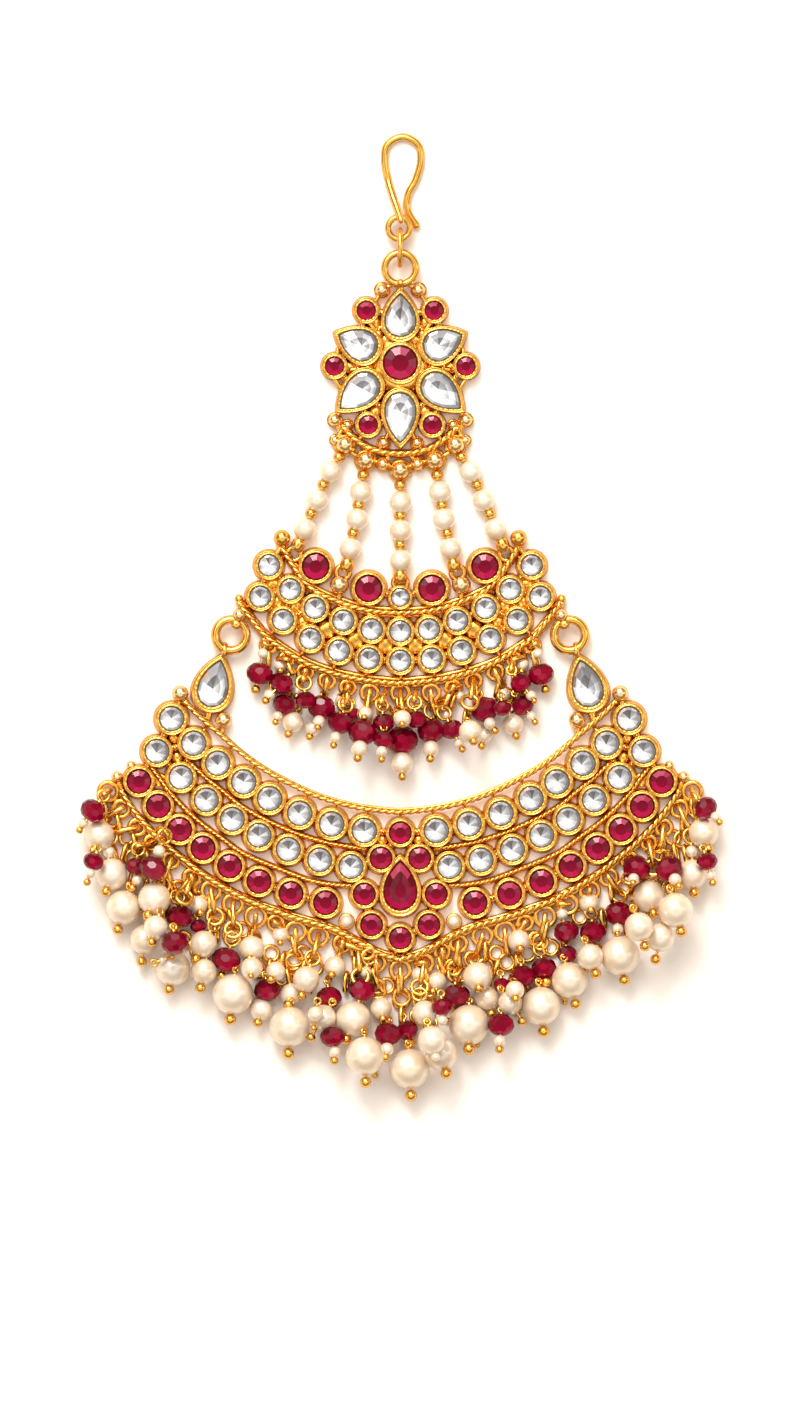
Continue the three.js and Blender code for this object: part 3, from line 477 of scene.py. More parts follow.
# ---- settings and stones ---------------------------------------------------------
def rim(height, band, foot):
    """Section of a setting, from its foot over its rim and into its seat.

    Each row: share of the way from the stone's edge to the wall, more beyond it, height.
    """
    swell = min(0.36, band * 0.44)
    section = [
        (1, foot - 0.06, 0.02), (1, foot, 0.12), (1, foot * 0.5, 0.42), (1, -0.04, 0.75),
        (1, -0.06, height - swell - 0.24), (1, -0.015, height - swell - 0.1)]
    for angle in (4, 30, 56, 82, 108, 134):
        a = math.radians(angle)
        section.append((0.82 + 0.18 * math.cos(a), 0, height - swell + swell * math.sin(a)))
    section += [
        (0.53, 0, height - 0.1), (0.47, 0, height - 0.06), (0.38, 0, height), (0.22, 0, height - 0.01),
        (0.1, 0, height - 0.08), (0.03, 0, height - 0.24), (0, -0.07, height - swell - 0.3)]
    return section


# rows of a setting's section that carry fine cuts with the depth of the cuts, and one cut's section
CUT_ROWS = {13: 0.04, 14: 0.15, 15: 0.18, 16: 0.12}
CUT_SHAPE = [1.0, 0.2, 0.0, 0.2]
CUTS_PER_MM = 3.4


def fine_cuts(row, count):
    """Depth of the small uneven cuts round the inner lip of a rim."""
    if row not in CUT_ROWS:
        return np.zeros(count)
    cuts = count // len(CUT_SHAPE)
    deep = np.repeat([shuffle.uniform(0.15, 1.0) for _ in range(cuts)], len(CUT_SHAPE))
    return deep * np.tile(CUT_SHAPE, cuts) * CUT_ROWS[row]


def bezel(x, y, outer, stone, height=SETTING_HEIGHT, foot=0.2):
    """A round setting: a foot, a wall and a rounded rim with a finely cut inner lip."""
    seat, band = stone / 2, (outer - stone) / 2
    sides = len(CUT_SHAPE) * max(12, round(outer * CUTS_PER_MM))
    shape = turned([(seat + share * band + more, z) for share, more, z in rim(height, band, foot)], sides)
    for row in CUT_ROWS:
        shape.points[row * sides:(row + 1) * sides, 2] -= fine_cuts(row, sides)
    return shape.moved(x, y, spin=shuffle.uniform(0, 6.28))


def round_outline(width):
    """Places round a circle."""
    def outline(t):
        return np.stack([np.cos(t), np.sin(t)], 1) * width / 2
    return outline


PEAR_TAPER = 0.7
PEAR_SWELL = 0.826  # greatest value of the pear's curve, so that its width comes out right


def pear_outline(width, length):
    """Places round a pear, from its tip and round its blunt end; its tip points along Y."""
    def outline(t):
        across = np.sin(t) * np.sin(t / 2) ** PEAR_TAPER
        return np.stack([-across / PEAR_SWELL * width / 2, np.cos(t) * length / 2], 1)
    return outline


def clamp(value):
    return min(1.0, max(0.0, value))


def crown(outline, facets, rings, centre, shade, turn, fine=3):
    """A cut stone on an outline: each ring is a share of it and a height, the last one a point or a table.

    Every facet is flat; shade gives its tone from its heading, its ring, and its outer or inner edge.
    """
    centre = np.array(centre)
    columns = facets * fine
    full, corners = outline(round_steps(columns)), outline(round_steps(facets))
    share = (np.arange(columns) % fine / fine)[:, None]
    straight = np.repeat(corners, fine, 0) * (1 - share)
    straight += np.repeat(np.roll(corners, -1, 0), fine, 0) * share
    points = []
    for i, (reach, height) in enumerate(rings):
        flat = (full if i < 2 else straight) * reach + centre * (1 - reach)
        points.append(np.column_stack([flat, np.full(columns, height)]))
    lead = outline(round_steps(facets) + math.pi / facets) - centre
    headings = np.arctan2(lead[:, 1], lead[:, 0]) + turn
    bias = [shuffle.uniform(-1, 1) for _ in range(facets)]
    j = np.arange(columns)
    j_next = (j + 1) % columns
    groups, tones = [j[None, ::-1]], [0.1]
    for level in range(len(rings) - 1):
        low, high = level * columns, (level + 1) * columns
        for a, b in zip(j, j_next):
            facet = a // fine
            outer, inner = [shade(headings[facet], level, edge, bias[facet]) for edge in (0, 1)]
            groups.append(np.array([[low + a, low + b, high + b, high + a]]))
            tones.append(np.array([[outer, outer, inner, inner]]))
    groups.append(((len(rings) - 1) * columns + j)[None, :])
    table = np.arctan2(straight[:, 1] - centre[1], straight[:, 0] - centre[0]) + turn
    tones.append(np.array([[shade(heading, len(rings) - 1, None, 0) for heading in table]]))
    return Shape(np.concatenate(points), groups, False, tones)


# painted tones of a clear stone's wedges and of the facets along its edge, clockwise from straight up: painted
# shade above and along the edge, painted white reflections below, and a painted reflection of the gold setting
# in the two darkest edge facets
PAINTED_SILVER_WEDGES = [0.20, 0.50, 0.76, 0.62, 0.80, 0.97, 1.0, 0.94, 1.0, 0.90, 0.74, 0.34]
PAINTED_SILVER_EDGES = [0.20, 0.38, 0.30, 0.24, 0.36, 0.52, 0.62, 0.76, 0.80, 0.62, 0.06, 0.04]


def silver_tone(heading, level, edge, bias):
    """A clear stone's painted light: painted shade in a wedge above its middle and along its edge, painted
    white reflections in the wedges below, and a painted reflection of the gold setting at its edge.
    """
    wedges = len(PAINTED_SILVER_WEDGES)
    sector = round((math.pi / 2 - heading) / FULL_TURN * wedges) % wedges
    if level < 2:
        return 0.12 if edge == 0 else 0.3
    if level == 2:
        tone = PAINTED_SILVER_EDGES[sector]
        return tone if tone < 0.1 else clamp(tone + 0.1 * bias)
    wedge = PAINTED_SILVER_WEDGES[sector] + 0.08 * bias
    swing = 0.13 if wedge > 0.5 else 0.06
    return clamp(wedge - swing if edge == 0 else wedge + swing)


def red_tone(heading, level, edge, bias):
    """A set ruby has a painted dark edge of shade, a painted pale reflection in its topmost facet, painted glow
    in the facets below and a table painted a little darker towards the top.
    """
    up = math.sin(heading)
    if level == 0:
        return 0.1
    if level == 1:
        return 0.3 - 0.12 * up
    if level == 2:
        return 0.93 if up > 0.75 else clamp(0.5 - 0.34 * up + 0.08 * bias)
    if level == 3 and edge is not None:
        return clamp(0.4 - 0.12 * up + 0.14 * bias)
    return 0.44 - 0.1 * up


def clear_stone(x, y, width):
    """A round clear stone, cut to a point that sits a little off its middle."""
    turn = shuffle.uniform(-0.3, 0.3)
    rings = [(1.0, -0.5), (1.0, 0.0), (0.93, 0.06), (0.77, 0.14), (0.03, 0.27)]
    middle = (shuffle.uniform(-0.05, 0.05) * width, shuffle.uniform(-0.08, 0.04) * width)
    stone = crown(round_outline(width), 12, rings, middle, silver_tone, turn)
    return stone.moved(x, y, SETTING_HEIGHT - STONE_SEAT, spin=turn)


def set_ruby(x, y, width, height=SETTING_HEIGHT):
    """A round ruby with a table."""
    turn = shuffle.uniform(0, 6.28)
    rings = [(1.0, -0.5), (1.0, 0.0), (0.93, 0.07), (0.50, 0.12 + width * 0.06)]
    stone = crown(round_outline(width), 10, rings, (0, 0), red_tone, turn, 1)
    return stone.moved(x, y, height - STONE_SEAT, spin=turn)


PEAR_SIDES = 120


def pear_bezel(x, y, stone, wall, heading, height=SETTING_HEIGHT):
    """A pear-shaped setting with the same section as the round ones; stone and wall are width, length."""
    rings = []
    for row, (share, more, z) in enumerate(rim(height, (wall[0] - stone[0]) / 2, 0.2)):
        width = stone[0] + (wall[0] - stone[0]) * share + 2 * more
        length = stone[1] + (wall[1] - stone[1]) * share + 2.3 * more
        outline = pear_outline(width, length)(round_steps(PEAR_SIDES))
        rings.append(np.column_stack([outline, z - fine_cuts(row, PEAR_SIDES)]))
    return capped(rings, PEAR_SIDES).moved(x, y, spin=math.radians(heading))


def pear_stone(x, y, size, heading, base, clear):
    """A pear-cut stone: clear ones come to a point, the ruby has a table."""
    turn = math.radians(heading)
    centre = (0, -size[1] * 0.12)
    if clear:
        rings = [(1.0, -0.5), (1.0, 0.0), (0.94, 0.10), (0.80, 0.22), (0.50, 0.40), (0.03, 0.56)]
        stone = crown(pear_outline(*size), 12, rings, centre, silver_tone, turn)
    else:
        rings = [(1.0, -0.5), (1.0, 0.0), (0.93, 0.12), (0.66, 0.42), (0.34, 0.58)]
        stone = crown(pear_outline(*size), 12, rings, centre, red_tone, turn, 1)
    return stone.moved(x, y, base, spin=turn)


def middle_of(places):
    """The middle of several places, across and along."""
    return [sum(place[k] for place in places) / len(places) for k in (0, 1)]


def bridges(places, web, reach=0.75):
    """Solder between settings that stand next to each other: places are across, along, width.

    web is the width of the low solder that fills the hollow between three or four of them.
    """
    height, wire, grain = 0.75, 1.15, 0.62
    shapes = []
    near = set()
    for i, (ax, ay, aw) in enumerate(places):
        for k, (bx, by, bw) in enumerate(places[:i]):
            if math.hypot(ax - bx, ay - by) - (aw + bw) / 2 < reach:
                near.add((k, i))
                shapes.append(tube([(ax, ay, height), (bx, by, height)], wire, 6, round_ends=False))
                x, y = ax + (bx - ax) * aw / (aw + bw), ay + (by - ay) * aw / (aw + bw)
                shapes.append(ball(grain, 10, 8).moved(x, y, SETTING_HEIGHT - 0.75))
    for k, i in sorted(near):
        for j in range(k):
            if (j, k) in near and (j, i) in near:
                x, y = middle_of([places[n] for n in (i, j, k)])
                shapes.append(ball(web, 12, 8, 0.45).moved(x, y, 0.65))
    beside = [{k if n == i else i for k, i in near if n in (k, i)} for n in range(len(places))]
    for i in range(len(places)):
        for j in range(i):
            shared = sorted(beside[i] & beside[j])
            if i in beside[j] or len(shared) != 2 or shared[0] in beside[shared[1]] or j < shared[0]:
                continue
            x, y = middle_of([places[n] for n in (i, j, *shared)])
            shapes.append(ball(web * 1.35, 14, 8, 0.3).moved(x, y, 0.45))
    return shapes


def posts(rows, height, wire):
    """Short wires on both sides: each row is the two ends on the right, across and along."""
    shapes = []
    for side, _ in SIDES:
        for (ax, ay), (bx, by) in rows:
            shapes.append(tube([(side * ax, ay, height), (side * bx, by, height)], wire, 8))
    return shapes


# ---- hook, its ring, the link and the rosette -------------------------------------
# the wire's middle, from the end that passes through the ring round to the other: across, along, up
HOOK_ROUTE = [
    (0.1, 59.6, 3.5), (-0.5, 61.4, 2.4), (-1.2, 63.4, 1.5), (-1.8, 65.5, 0.63), (-2.35, 68.4, 0.63),
    (-1.95, 70.9, 0.63), (0.35, 72.1, 0.63), (2.65, 70.9, 0.63), (3.05, 68.4, 0.63), (2.25, 65.5, 0.63),
    (1.3, 63.75, 0.63), (0.95, 61.7, 0.63), (1.5, 60.2, 0.63), (2.45, 58.8, 0.63)]
OVAL_LINK = (3.8, 6.1)  # width, length
place_gold("hook_wire", [tube(flowing(HOOK_ROUTE, 0.35), HEAVY_WIRE, 14)], "hook")
place_gold("hook_jump_ring", [hoop(4.25, 0.95, 12, 48).moved(-0.2, 58.4, RING_HEIGHT)], "hook_ring")
oval_link = hoop(OVAL_LINK[0], 0.8, 10, 40, long=OVAL_LINK[1] / OVAL_LINK[0])
place_gold("oval_link", [
    oval_link.moved(-0.05, 55.5, LINK_HEIGHT, axis=(1, 0, 0), spin=math.pi / 2)], "link")

ROSETTE_CENTRE = (0, 38.2)
# across, along, length, the way the tip points in degrees left of straight up
PETALS = [(0, 45.3, 8.1, 0), (-6.45, 41.1, 7.8, 65), (-6.3, 33.7, 8.8, 131), (0, 29.95, 9.2, 180),
          (6.3, 33.7, 8.8, -131), (6.45, 41.1, 7.8, -65)]
PETAL_WIDTH = 5.95
ROSETTE_RUBIES = both_sides([(-5.1, 46.05), (-9.85, 37.7), (-4.8, 28.9)])
# gold grains and the heads that strings hang from: across, along, width; those round the hub are alike
ROSETTE_GRAINS = both_sides([
    (-2.75, 49.1, 2.0), (-9.85, 29.6, 1.9), (-7.9, 28.9, 1.35), (-2.5, 26.2, 1.65), (-9.8, 26.6, 1.35)])
STRING_HEADS = both_sides([(-8.3, 25.9, 2.65), (-5.2, 23.6, 2.65), (0, 22.1, 2.65), (-2.6, 23.0, 1.75)])
HUB_GRAINS = both_sides([(-3.3, 42.5), (-4.9, 37.5), (-3.6, 33.6)])
ROSETTE_ROPE = [(-8.6, 28.6), (-6.0, 26.2), (-3.0, 24.9), (0, 24.6), (3.0, 24.9), (6.0, 26.2), (8.6, 28.6)]
STRING_WIRE = [(-9.4, 29.2), (-8.3, 25.6), (-5.2, 23.6), (-2.6, 23.2), (0, 22.1),
               (2.6, 23.2), (5.2, 23.6), (8.3, 25.6), (9.4, 29.2)]
# both ends of each short wire on the right: across, along
ROSETTE_POSTS = [
    ((2.75, 49.1), (4.3, 46.4)), ((2.75, 49.1), (0.8, 50.2)), ((9.85, 35.9), (8.2, 33.0)),
    ((9.85, 29.6), (8.6, 31.6)), ((8.3, 28.7), (9.8, 26.6)), ((7.6, 27.6), (8.3, 25.4)),
    ((6.4, 26.4), (4.8, 28.4)), ((4.9, 25.6), (5.2, 23.6)), ((2.5, 26.2), (1.5, 28.2)),
    ((2.5, 26.2), (3.3, 24.9)), ((1.4, 24.7), (2.6, 23.0)), ((9.4, 40.2), (9.6, 38.2))]


def button(width):
    """A small flat disc with a rounded edge."""
    r = width / 2
    return turned([(r * 0.6, -0.3), (r * 0.93, -0.24), (r, 0), (r * 0.93, 0.24), (r * 0.6, 0.3)], 28)


def at_height(route, height):
    """A flat route carried to a height."""
    return [(x, y, height) for x, y in route]


def rosette():
    """Six crystals round a ruby, three rubies a side, and the heads that the pearl strings hang from."""
    cx, cy = ROSETTE_CENTRE
    metal = [bezel(cx, cy, 6.45, 5.1)]
    rubies = [set_ruby(cx, cy, 5.2)]
    for x, y, length, heading in PETALS:
        stone = (PETAL_WIDTH - 1.25, length - 1.7)
        metal.append(pear_bezel(x, y, stone, (PETAL_WIDTH, length), heading))
    for x, y in ROSETTE_RUBIES:
        metal.append(bezel(x, y, 4.0, 2.75, 2.0))
        rubies.append(set_ruby(x, y, 2.8, 2.0))
    metal.append(turned([(5.4, 0.05), (5.6, 0.15), (3.2, 1.5), (2.9, 1.5)], 64).moved(cx, cy - 0.3))
    for x, y in HUB_GRAINS:
        metal.append(ball(1.5, 20, 12).moved(x, y, 1.0))
        metal.append(tube([(x, y, 0.9), (x + (x - cx) * 0.5, y + (y - cy) * 0.5, 0.9)], 0.9, 8))
    settings = [(x, y, 6.6) for x, y, _, _ in PETALS] + [(x, y, 4.2) for x, y in ROSETTE_RUBIES]
    metal += bridges(settings + [(cx, cy, 6.4)], 1.9, 1.2)
    metal += rope(ROSETTE_ROPE, ROPE_WIDTH, 1.5)
    metal.append(tube(flowing(at_height(ROSETTE_ROPE, 0.8), 0.5), 1.3, 8))
    metal.append(tube(flowing(at_height(STRING_WIRE, 1), 0.4), 0.8))
    metal += posts(ROSETTE_POSTS, 1.15, 0.72)
    metal.append(hoop(5.8, HEAVY_WIRE, 12, 48).moved(0, 52.35, RING_HEIGHT))
    metal.append(ball(1.15, 20, 12).moved(0.05, 50.2, RING_HEIGHT + 0.75))
    metal.append(tube([(0, 49.9, 1.3), (0, 47.2, 1.0)], 1.1, 8))
    heads = []
    for x, y, width in ROSETTE_GRAINS:
        heads.append(ball(width, 24, 14).moved(x, y, 1.45))
        metal.append(button(width + 0.5).moved(x, y, 0.6))
    for x, y, width in STRING_HEADS:
        heads.append(ball(width, 28, 16).moved(x, y, 1.7))
        metal.append(button(width * 1.2).moved(x, y, 1.3))
        metal.append(button(width * 1.35).moved(x, y, 0.7))
    place_gold("rosette_metal", metal, "rosette_frame")
    place_pale_gold("rosette_heads", heads)
    place_rubies("rosette_small_rubies", rubies[1:])
    place_rubies("rosette_centre_ruby", rubies[:1], "rosette_ruby")
    for i, (x, y, length, heading) in enumerate(PETALS):
        stone = pear_stone(x, y, (PETAL_WIDTH - 1.2, length - 1.65), heading, 1.7, True)
        place_crystals(f"petal_crystal_{i + 1}", [stone], f"petal_stone_{i + 1}")


rosette()

# ---- pearl strings -------------------------------------------------------------------
# the pearls, the spacers between them and the end bead of each string on the left: across, along
OUTER_STRING = (
    [(-10.55, 21.9), (-12.5, 17.6), (-14.3, 13.25)],
    [(-9.2, 24.0), (-11.55, 19.85), (-13.4, 15.55)], [(-15.35, 10.9)])
INNER_STRING = (
    [(-5.9, 18.85), (-6.5, 14.75), (-7.5, 10.35)],
    [(-5.55, 21.3), (-6.25, 16.8), (-7.05, 12.6)], [(-8.0, 7.9)])
CENTRE_STRING = (
    [(0, 17.3), (0, 13.05), (0, 8.6)],
    [(0, 19.8), (0, 15.2), (0, 10.9)], [(0, 6.2)])
# half of a spacer's section: share of its width, share of its length
BARREL_SECTION = [(0.35, 1), (0.62, 1), (0.72, 0.86), (0.93, 0.6), (1, 0.2)]


def barrel(width, length):
    """A gold spacer: a barrel with a short neck at each end, about Z."""
    lower = [(r * width / 2, -h * length / 2) for r, h in BARREL_SECTION]
    return turned(lower + [(r, -h) for r, h in reversed(lower)], 28)


def pearl_string(number, string, side):
    """One string of pearls; a side of -1 keeps it on the left, 1 puts its mirror image on the right."""
    pearls, spacers, ends = [[(-side * x, y) for x, y in places] for places in string]
    stops = sorted(pearls + spacers + ends, key=lambda place: -place[1])
    metal = [tube(at_height(stops, STRING_HEIGHT), 0.42, 6)]
    for i, (x, y) in enumerate(stops):
        before, after = stops[max(0, i - 1)], stops[min(len(stops) - 1, i + 1)]
        axis = (after[0] - before[0], after[1] - before[1], 0)
        if (x, y) in ends:
            metal.append(barrel(2.05, 2.1).moved(x, y, STRING_HEIGHT, axis))
        elif (x, y) in spacers:
            metal.append(barrel(1.85, 1.35).moved(x, y, STRING_HEIGHT, axis))
    white = [ball(STRING_PEARL, 40, 20).moved(x, y, STRING_HEIGHT) for x, y in pearls]
    place_pearls(f"string_{number}_pearls", white, f"pearl_string_{number}")
    place_gold(f"string_{number}_spacers", metal, f"pearl_string_{number}")


pearl_string(1, OUTER_STRING, -1)
pearl_string(2, INNER_STRING, -1)
pearl_string(3, CENTRE_STRING, -1)
pearl_string(4, INNER_STRING, 1)
pearl_string(5, OUTER_STRING, 1)

# ---- middle plate ----------------------------------------------------------------------
# settings' width, stones' width, kind, then their places from the end inward
MIDDLE_ROWS = [
    (4.4, 3.2, "clear", [(-19.7, 7.8), (-16.5, 4.2), (-12.8, 1.4), (-8.55, -0.5), (-4.3, -1.8), (0, -2.1)]),
    (4.4, 3.2, "clear", [(-21.0, 3.1), (-17.6, -0.4), (-13.5, -3.2), (-9.2, -5.0), (-4.7, -6.2), (0, -6.5)]),
    (5.2, 4.0, "ruby", [(-12.7, 7.65), (-4.75, 4.35)]),
    (3.7, 2.75, "clear", [(0, 3.0)]),
]
# twisted borders from the left end to the middle: across, along
MIDDLE_TOP_ROPE = [(-17.7, 11.4), (-17.5, 10.2), (-15.7, 7.3), (-13.3, 4.4), (-9.8, 2.6), (-5.0, 1.1), (0, 0.7)]
MIDDLE_LOWER_ROPE = [(-24.2, 2.4), (-23.4, 1.2), (-20.2, -2.7), (-16.7, -5.3), (-13.3, -7.2),
                     (-9.8, -8.4), (-6.4, -9.2), (-2.9, -9.65), (0, -9.85)]
# loops of the lower edge, then those that the pearl strings end in: across, along, width
MIDDLE_LOOPS = both_sides([
    (-19.8, -4.2, 3.0), (-17.1, -6.3, 2.7), (-14.3, -8.2, 3.0), (-11.0, -9.5, 3.0), (-7.9, -10.5, 2.9),
    (-4.6, -11.3, 3.2), (0, -11.3, 3.4)])
STRING_LOOPS = both_sides([(-15.9, 9.55, 2.8), (-8.6, 6.75, 2.8), (0, 5.2, 2.9)])


def across_middle(half):
    """A border from the left end to the right end, from its left half."""
    return half + [(-x, y) for x, y in reversed(half) if x != 0]


def stones_and_bezels(rows):
    """A plate's settings, clear stones and rubies, and where the settings stand: across, along, width."""
    metal, clear, rubies, places = [], [], [], []
    for outer, stone, kind, half in rows:
        for x, y in both_sides(half):
            metal.append(bezel(x, y, outer, stone, SETTING_HEIGHT, PLATE_FOOT))
            places.append((x, y, outer))
            if kind == "clear":
                clear.append(clear_stone(x, y, stone))
            else:
                rubies.append(set_ruby(x, y, stone))
    return metal, clear, rubies, places


def rail(route, aside, up, height, wire):
    """A low plain wire that runs beside a rope and carries it."""
    return tube(flowing([(x + aside, y + up, height) for x, y in route], 0.6), wire, 8)


def loop(x, y, outer):
    """A loop on a plate's lower edge, for a string or a pin."""
    return hoop(outer, LOOP_WIRE, 9, 30).moved(x, y, LOOP_HEIGHT)


TIE_WIRE, TIE_REACH = 0.62, 3.4


def ties(places, route):
    """Solder from settings to a rope that runs beside them."""
    line = flowing(at_height(route, 0.8), 0.3)
    shapes = []
    for x, y, width in places:
        apart = np.hypot(line[:, 0] - x, line[:, 1] - y)
        nearest = int(apart.argmin())
        if apart[nearest] < (width + TIE_REACH) / 2:
            shapes.append(tube([(x, y, 0.8), tuple(line[nearest])], TIE_WIRE, 6, round_ends=False))
    return shapes


def middle_plate():
    """The small crescent between the pearl strings and the lower plate, with a hoop at each tip."""
    metal, clear, rubies, places = stones_and_bezels(MIDDLE_ROWS)
    metal += bridges(places, 2.0, 1.0)
    for x, y, outer in MIDDLE_LOOPS + STRING_LOOPS:
        metal.append(loop(x, y, outer))
    for route in (across_middle(MIDDLE_TOP_ROPE), across_middle(MIDDLE_LOWER_ROPE)):
        metal += rope(route, ROPE_WIDTH, ROPE_HEIGHT + 0.35)
        metal.append(rail(route, 0, -0.4, 0.75, 0.85))
        metal.append(rail(route, 0, 0.55, 0.5, 0.9))
        metal += ties(places, route)
    domes = []
    for side, _ in SIDES:
        metal.append(ball(2.55, 28, 16).moved(side * 17.75, 11.9, 1.4))
        metal.append(ball(1.35, 20, 12).moved(side * 24.2, 2.8, 1.0))
        metal.append(hoop(2.1, 0.6, 10, 30).moved(side * 24.1, 0.3, 1.2))
        metal.append(tube([(side * 17.6, 10.9, 1.0), (side * 19.2, 8.6, 1.0)], 0.9, 8))
        metal.append(tube([(side * 9.0, 4.9, 1.0), (side * 9.2, 2.4, 1.0)], 0.9, 8))
        metal.append(ball(1.5, 18, 10, 0.55).moved(side * 24.6, -1.05, 2.6))
        domes.append(ball(2.9, 28, 16).moved(side * 9.15, 4.9, 1.55))
        domes.append(ball(1.85, 24, 14).moved(side * 24.15, 0.35, 2.7))
    place_gold("middle_metal", metal, "middle_plate")
    place_crystals("middle_clear_stones", clear, "middle_plate")
    place_rubies("middle_rubies", rubies, "middle_plate")
    place_pale_gold("middle_domes", domes, "middle_plate")
    for side, name in SIDES:
        ring = hoop(6.0, 1.35, 12, 48).moved(side * 25.4, -2.65, 1.9)
        place_gold(f"side_hoop_{name}", [ring], f"side_ring_{name}")


middle_plate()

# ---- lower plate ------------------------------------------------------------------------
# settings' width, stones' width, kind, then their places from the tip inward
LOWER_ROWS = [
    (5.0, 3.65, "clear", [(-34.3, -15.2), (-31.0, -18.9), (-27.4, -21.9), (-23.5, -24.7), (-19.6, -27.2),
                          (-15.1, -29.4), (-10.3, -31.0), (-5.4, -32.0)]),
    (4.8, 3.6, "clear", [(-36.5, -20.1), (-32.9, -24.0), (-29.1, -27.4), (-25.2, -30.3), (-21.2, -32.7),
                         (-16.8, -34.8), (-12.1, -36.4), (-7.4, -37.4)]),
    (4.8, 3.6, "ruby", [(-39.2, -24.6), (-36.3, -28.3), (-33.1, -31.8), (-29.6, -34.6), (-25.6, -37.3),
                        (-21.2, -39.6), (-16.4, -41.4), (-11.2, -42.8)]),
    (4.4, 3.3, "ruby", [(0, -32.3), (-2.9, -36.1), (-5.4, -41.5), (-4.3, -46.1), (0, -48.1)]),
]
# twisted borders from the left tip to the middle: across, along
UPPER_ROPE = [(-32.4, -12.5), (-30.4, -14.6), (-26.9, -17.6), (-23.5, -20.6), (-20.1, -23.0),
              (-16.6, -24.9), (-13.2, -26.5), (-9.7, -27.7), (-6.3, -28.5), (-2.8, -29.0), (0, -29.2)]
LOWER_ROPE = [(-41.9, -25.9), (-40.7, -27.8), (-39.0, -30.1), (-35.6, -33.7), (-32.1, -36.6),
              (-28.7, -39.1), (-25.2, -41.2), (-21.8, -42.9), (-18.3, -44.2), (-14.9, -45.3),
              (-11.4, -46.3), (-8.7, -47.4), (-5.3, -49.2), (-2.8, -50.5), (0, -51.3)]
FIRST_DIVIDER = [(-31.3, -22.0), (-29.3, -23.9), (-26.9, -25.8), (-23.5, -28.5),
                 (-19.0, -30.9), (-14.9, -32.6), (-10.4, -33.9), (-5.3, -34.7)]
SECOND_DIVIDER = [(-37.3, -22.5), (-36.4, -23.7), (-33.8, -27.1), (-30.4, -30.4),
                  (-26.9, -33.0), (-23.5, -35.4), (-20.1, -36.9), (-16.6, -38.3),
                  (-13.2, -39.5), (-9.7, -40.1), (-7.3, -40.2)]
# pear-shaped stones and their settings: place on the right, then the openings, walls and stones
CENTRE_PLACE = (0, -40.2)
CENTRE_OPENING, CENTRE_WALL, CENTRE_PEAR = (4.95, 7.4), (6.4, 9.5), (5.05, 7.5)
SIDE_PLACE, SIDE_LEAN = (27.9, -9.9), 15
SIDE_OPENING, SIDE_WALL, SIDE_PEAR = (4.5, 7.1), (6.3, 9.0), (4.6, 7.2)
# domes that stand off the plate on the right: across, along, width, sides, bands, height
LOWER_DOMES = [(42.5, -23.9, 1.75, 24, 14, 1.0), (40.4, -22.2, 1.45, 20, 12, 1.0),
               (33.0, -11.4, 2.5, 28, 16, 1.4), (26.5, -15.4, 2.5, 28, 16, 1.4)]
# the wires that carry them: both ends, across and along, then height and thickness
DOME_WIRES = [((42.5, -23.9), (41.6, -26.4), 0.9, 0.8), ((40.4, -22.2), (40.0, -23.4), 0.9, 0.8),
              ((33.0, -11.5), (33.4, -14.0), 1.0, 0.9), ((26.4, -15.6), (26.7, -17.5), 1.0, 0.9),
              ((28.7, -13.8), (29.0, -15.7), 0.7, 1.2)]
SMALL_PEARL_PLACE = (8.05, -45.6)
# loops of the lower edge: across, along, width
LOWER_LOOPS = both_sides([
    (-43.8, -26.1, 3.5), (-41.9, -28.7, 3.2), (-39.5, -31.5, 3.1), (-37.3, -33.8, 2.9),
    (-34.4, -36.4, 3.1), (-31.3, -39.0, 3.2), (-28.4, -41.0, 3.5), (-25.1, -43.0, 3.6),
    (-21.7, -44.9, 3.7), (-18.7, -45.8, 2.9), (-15.7, -47.1, 3.6), (-12.3, -47.8, 3.6),
    (-8.7, -48.9, 3.2), (-6.3, -50.1, 2.8), (-3.6, -51.8, 3.3), (0, -52.9, 3.6)])


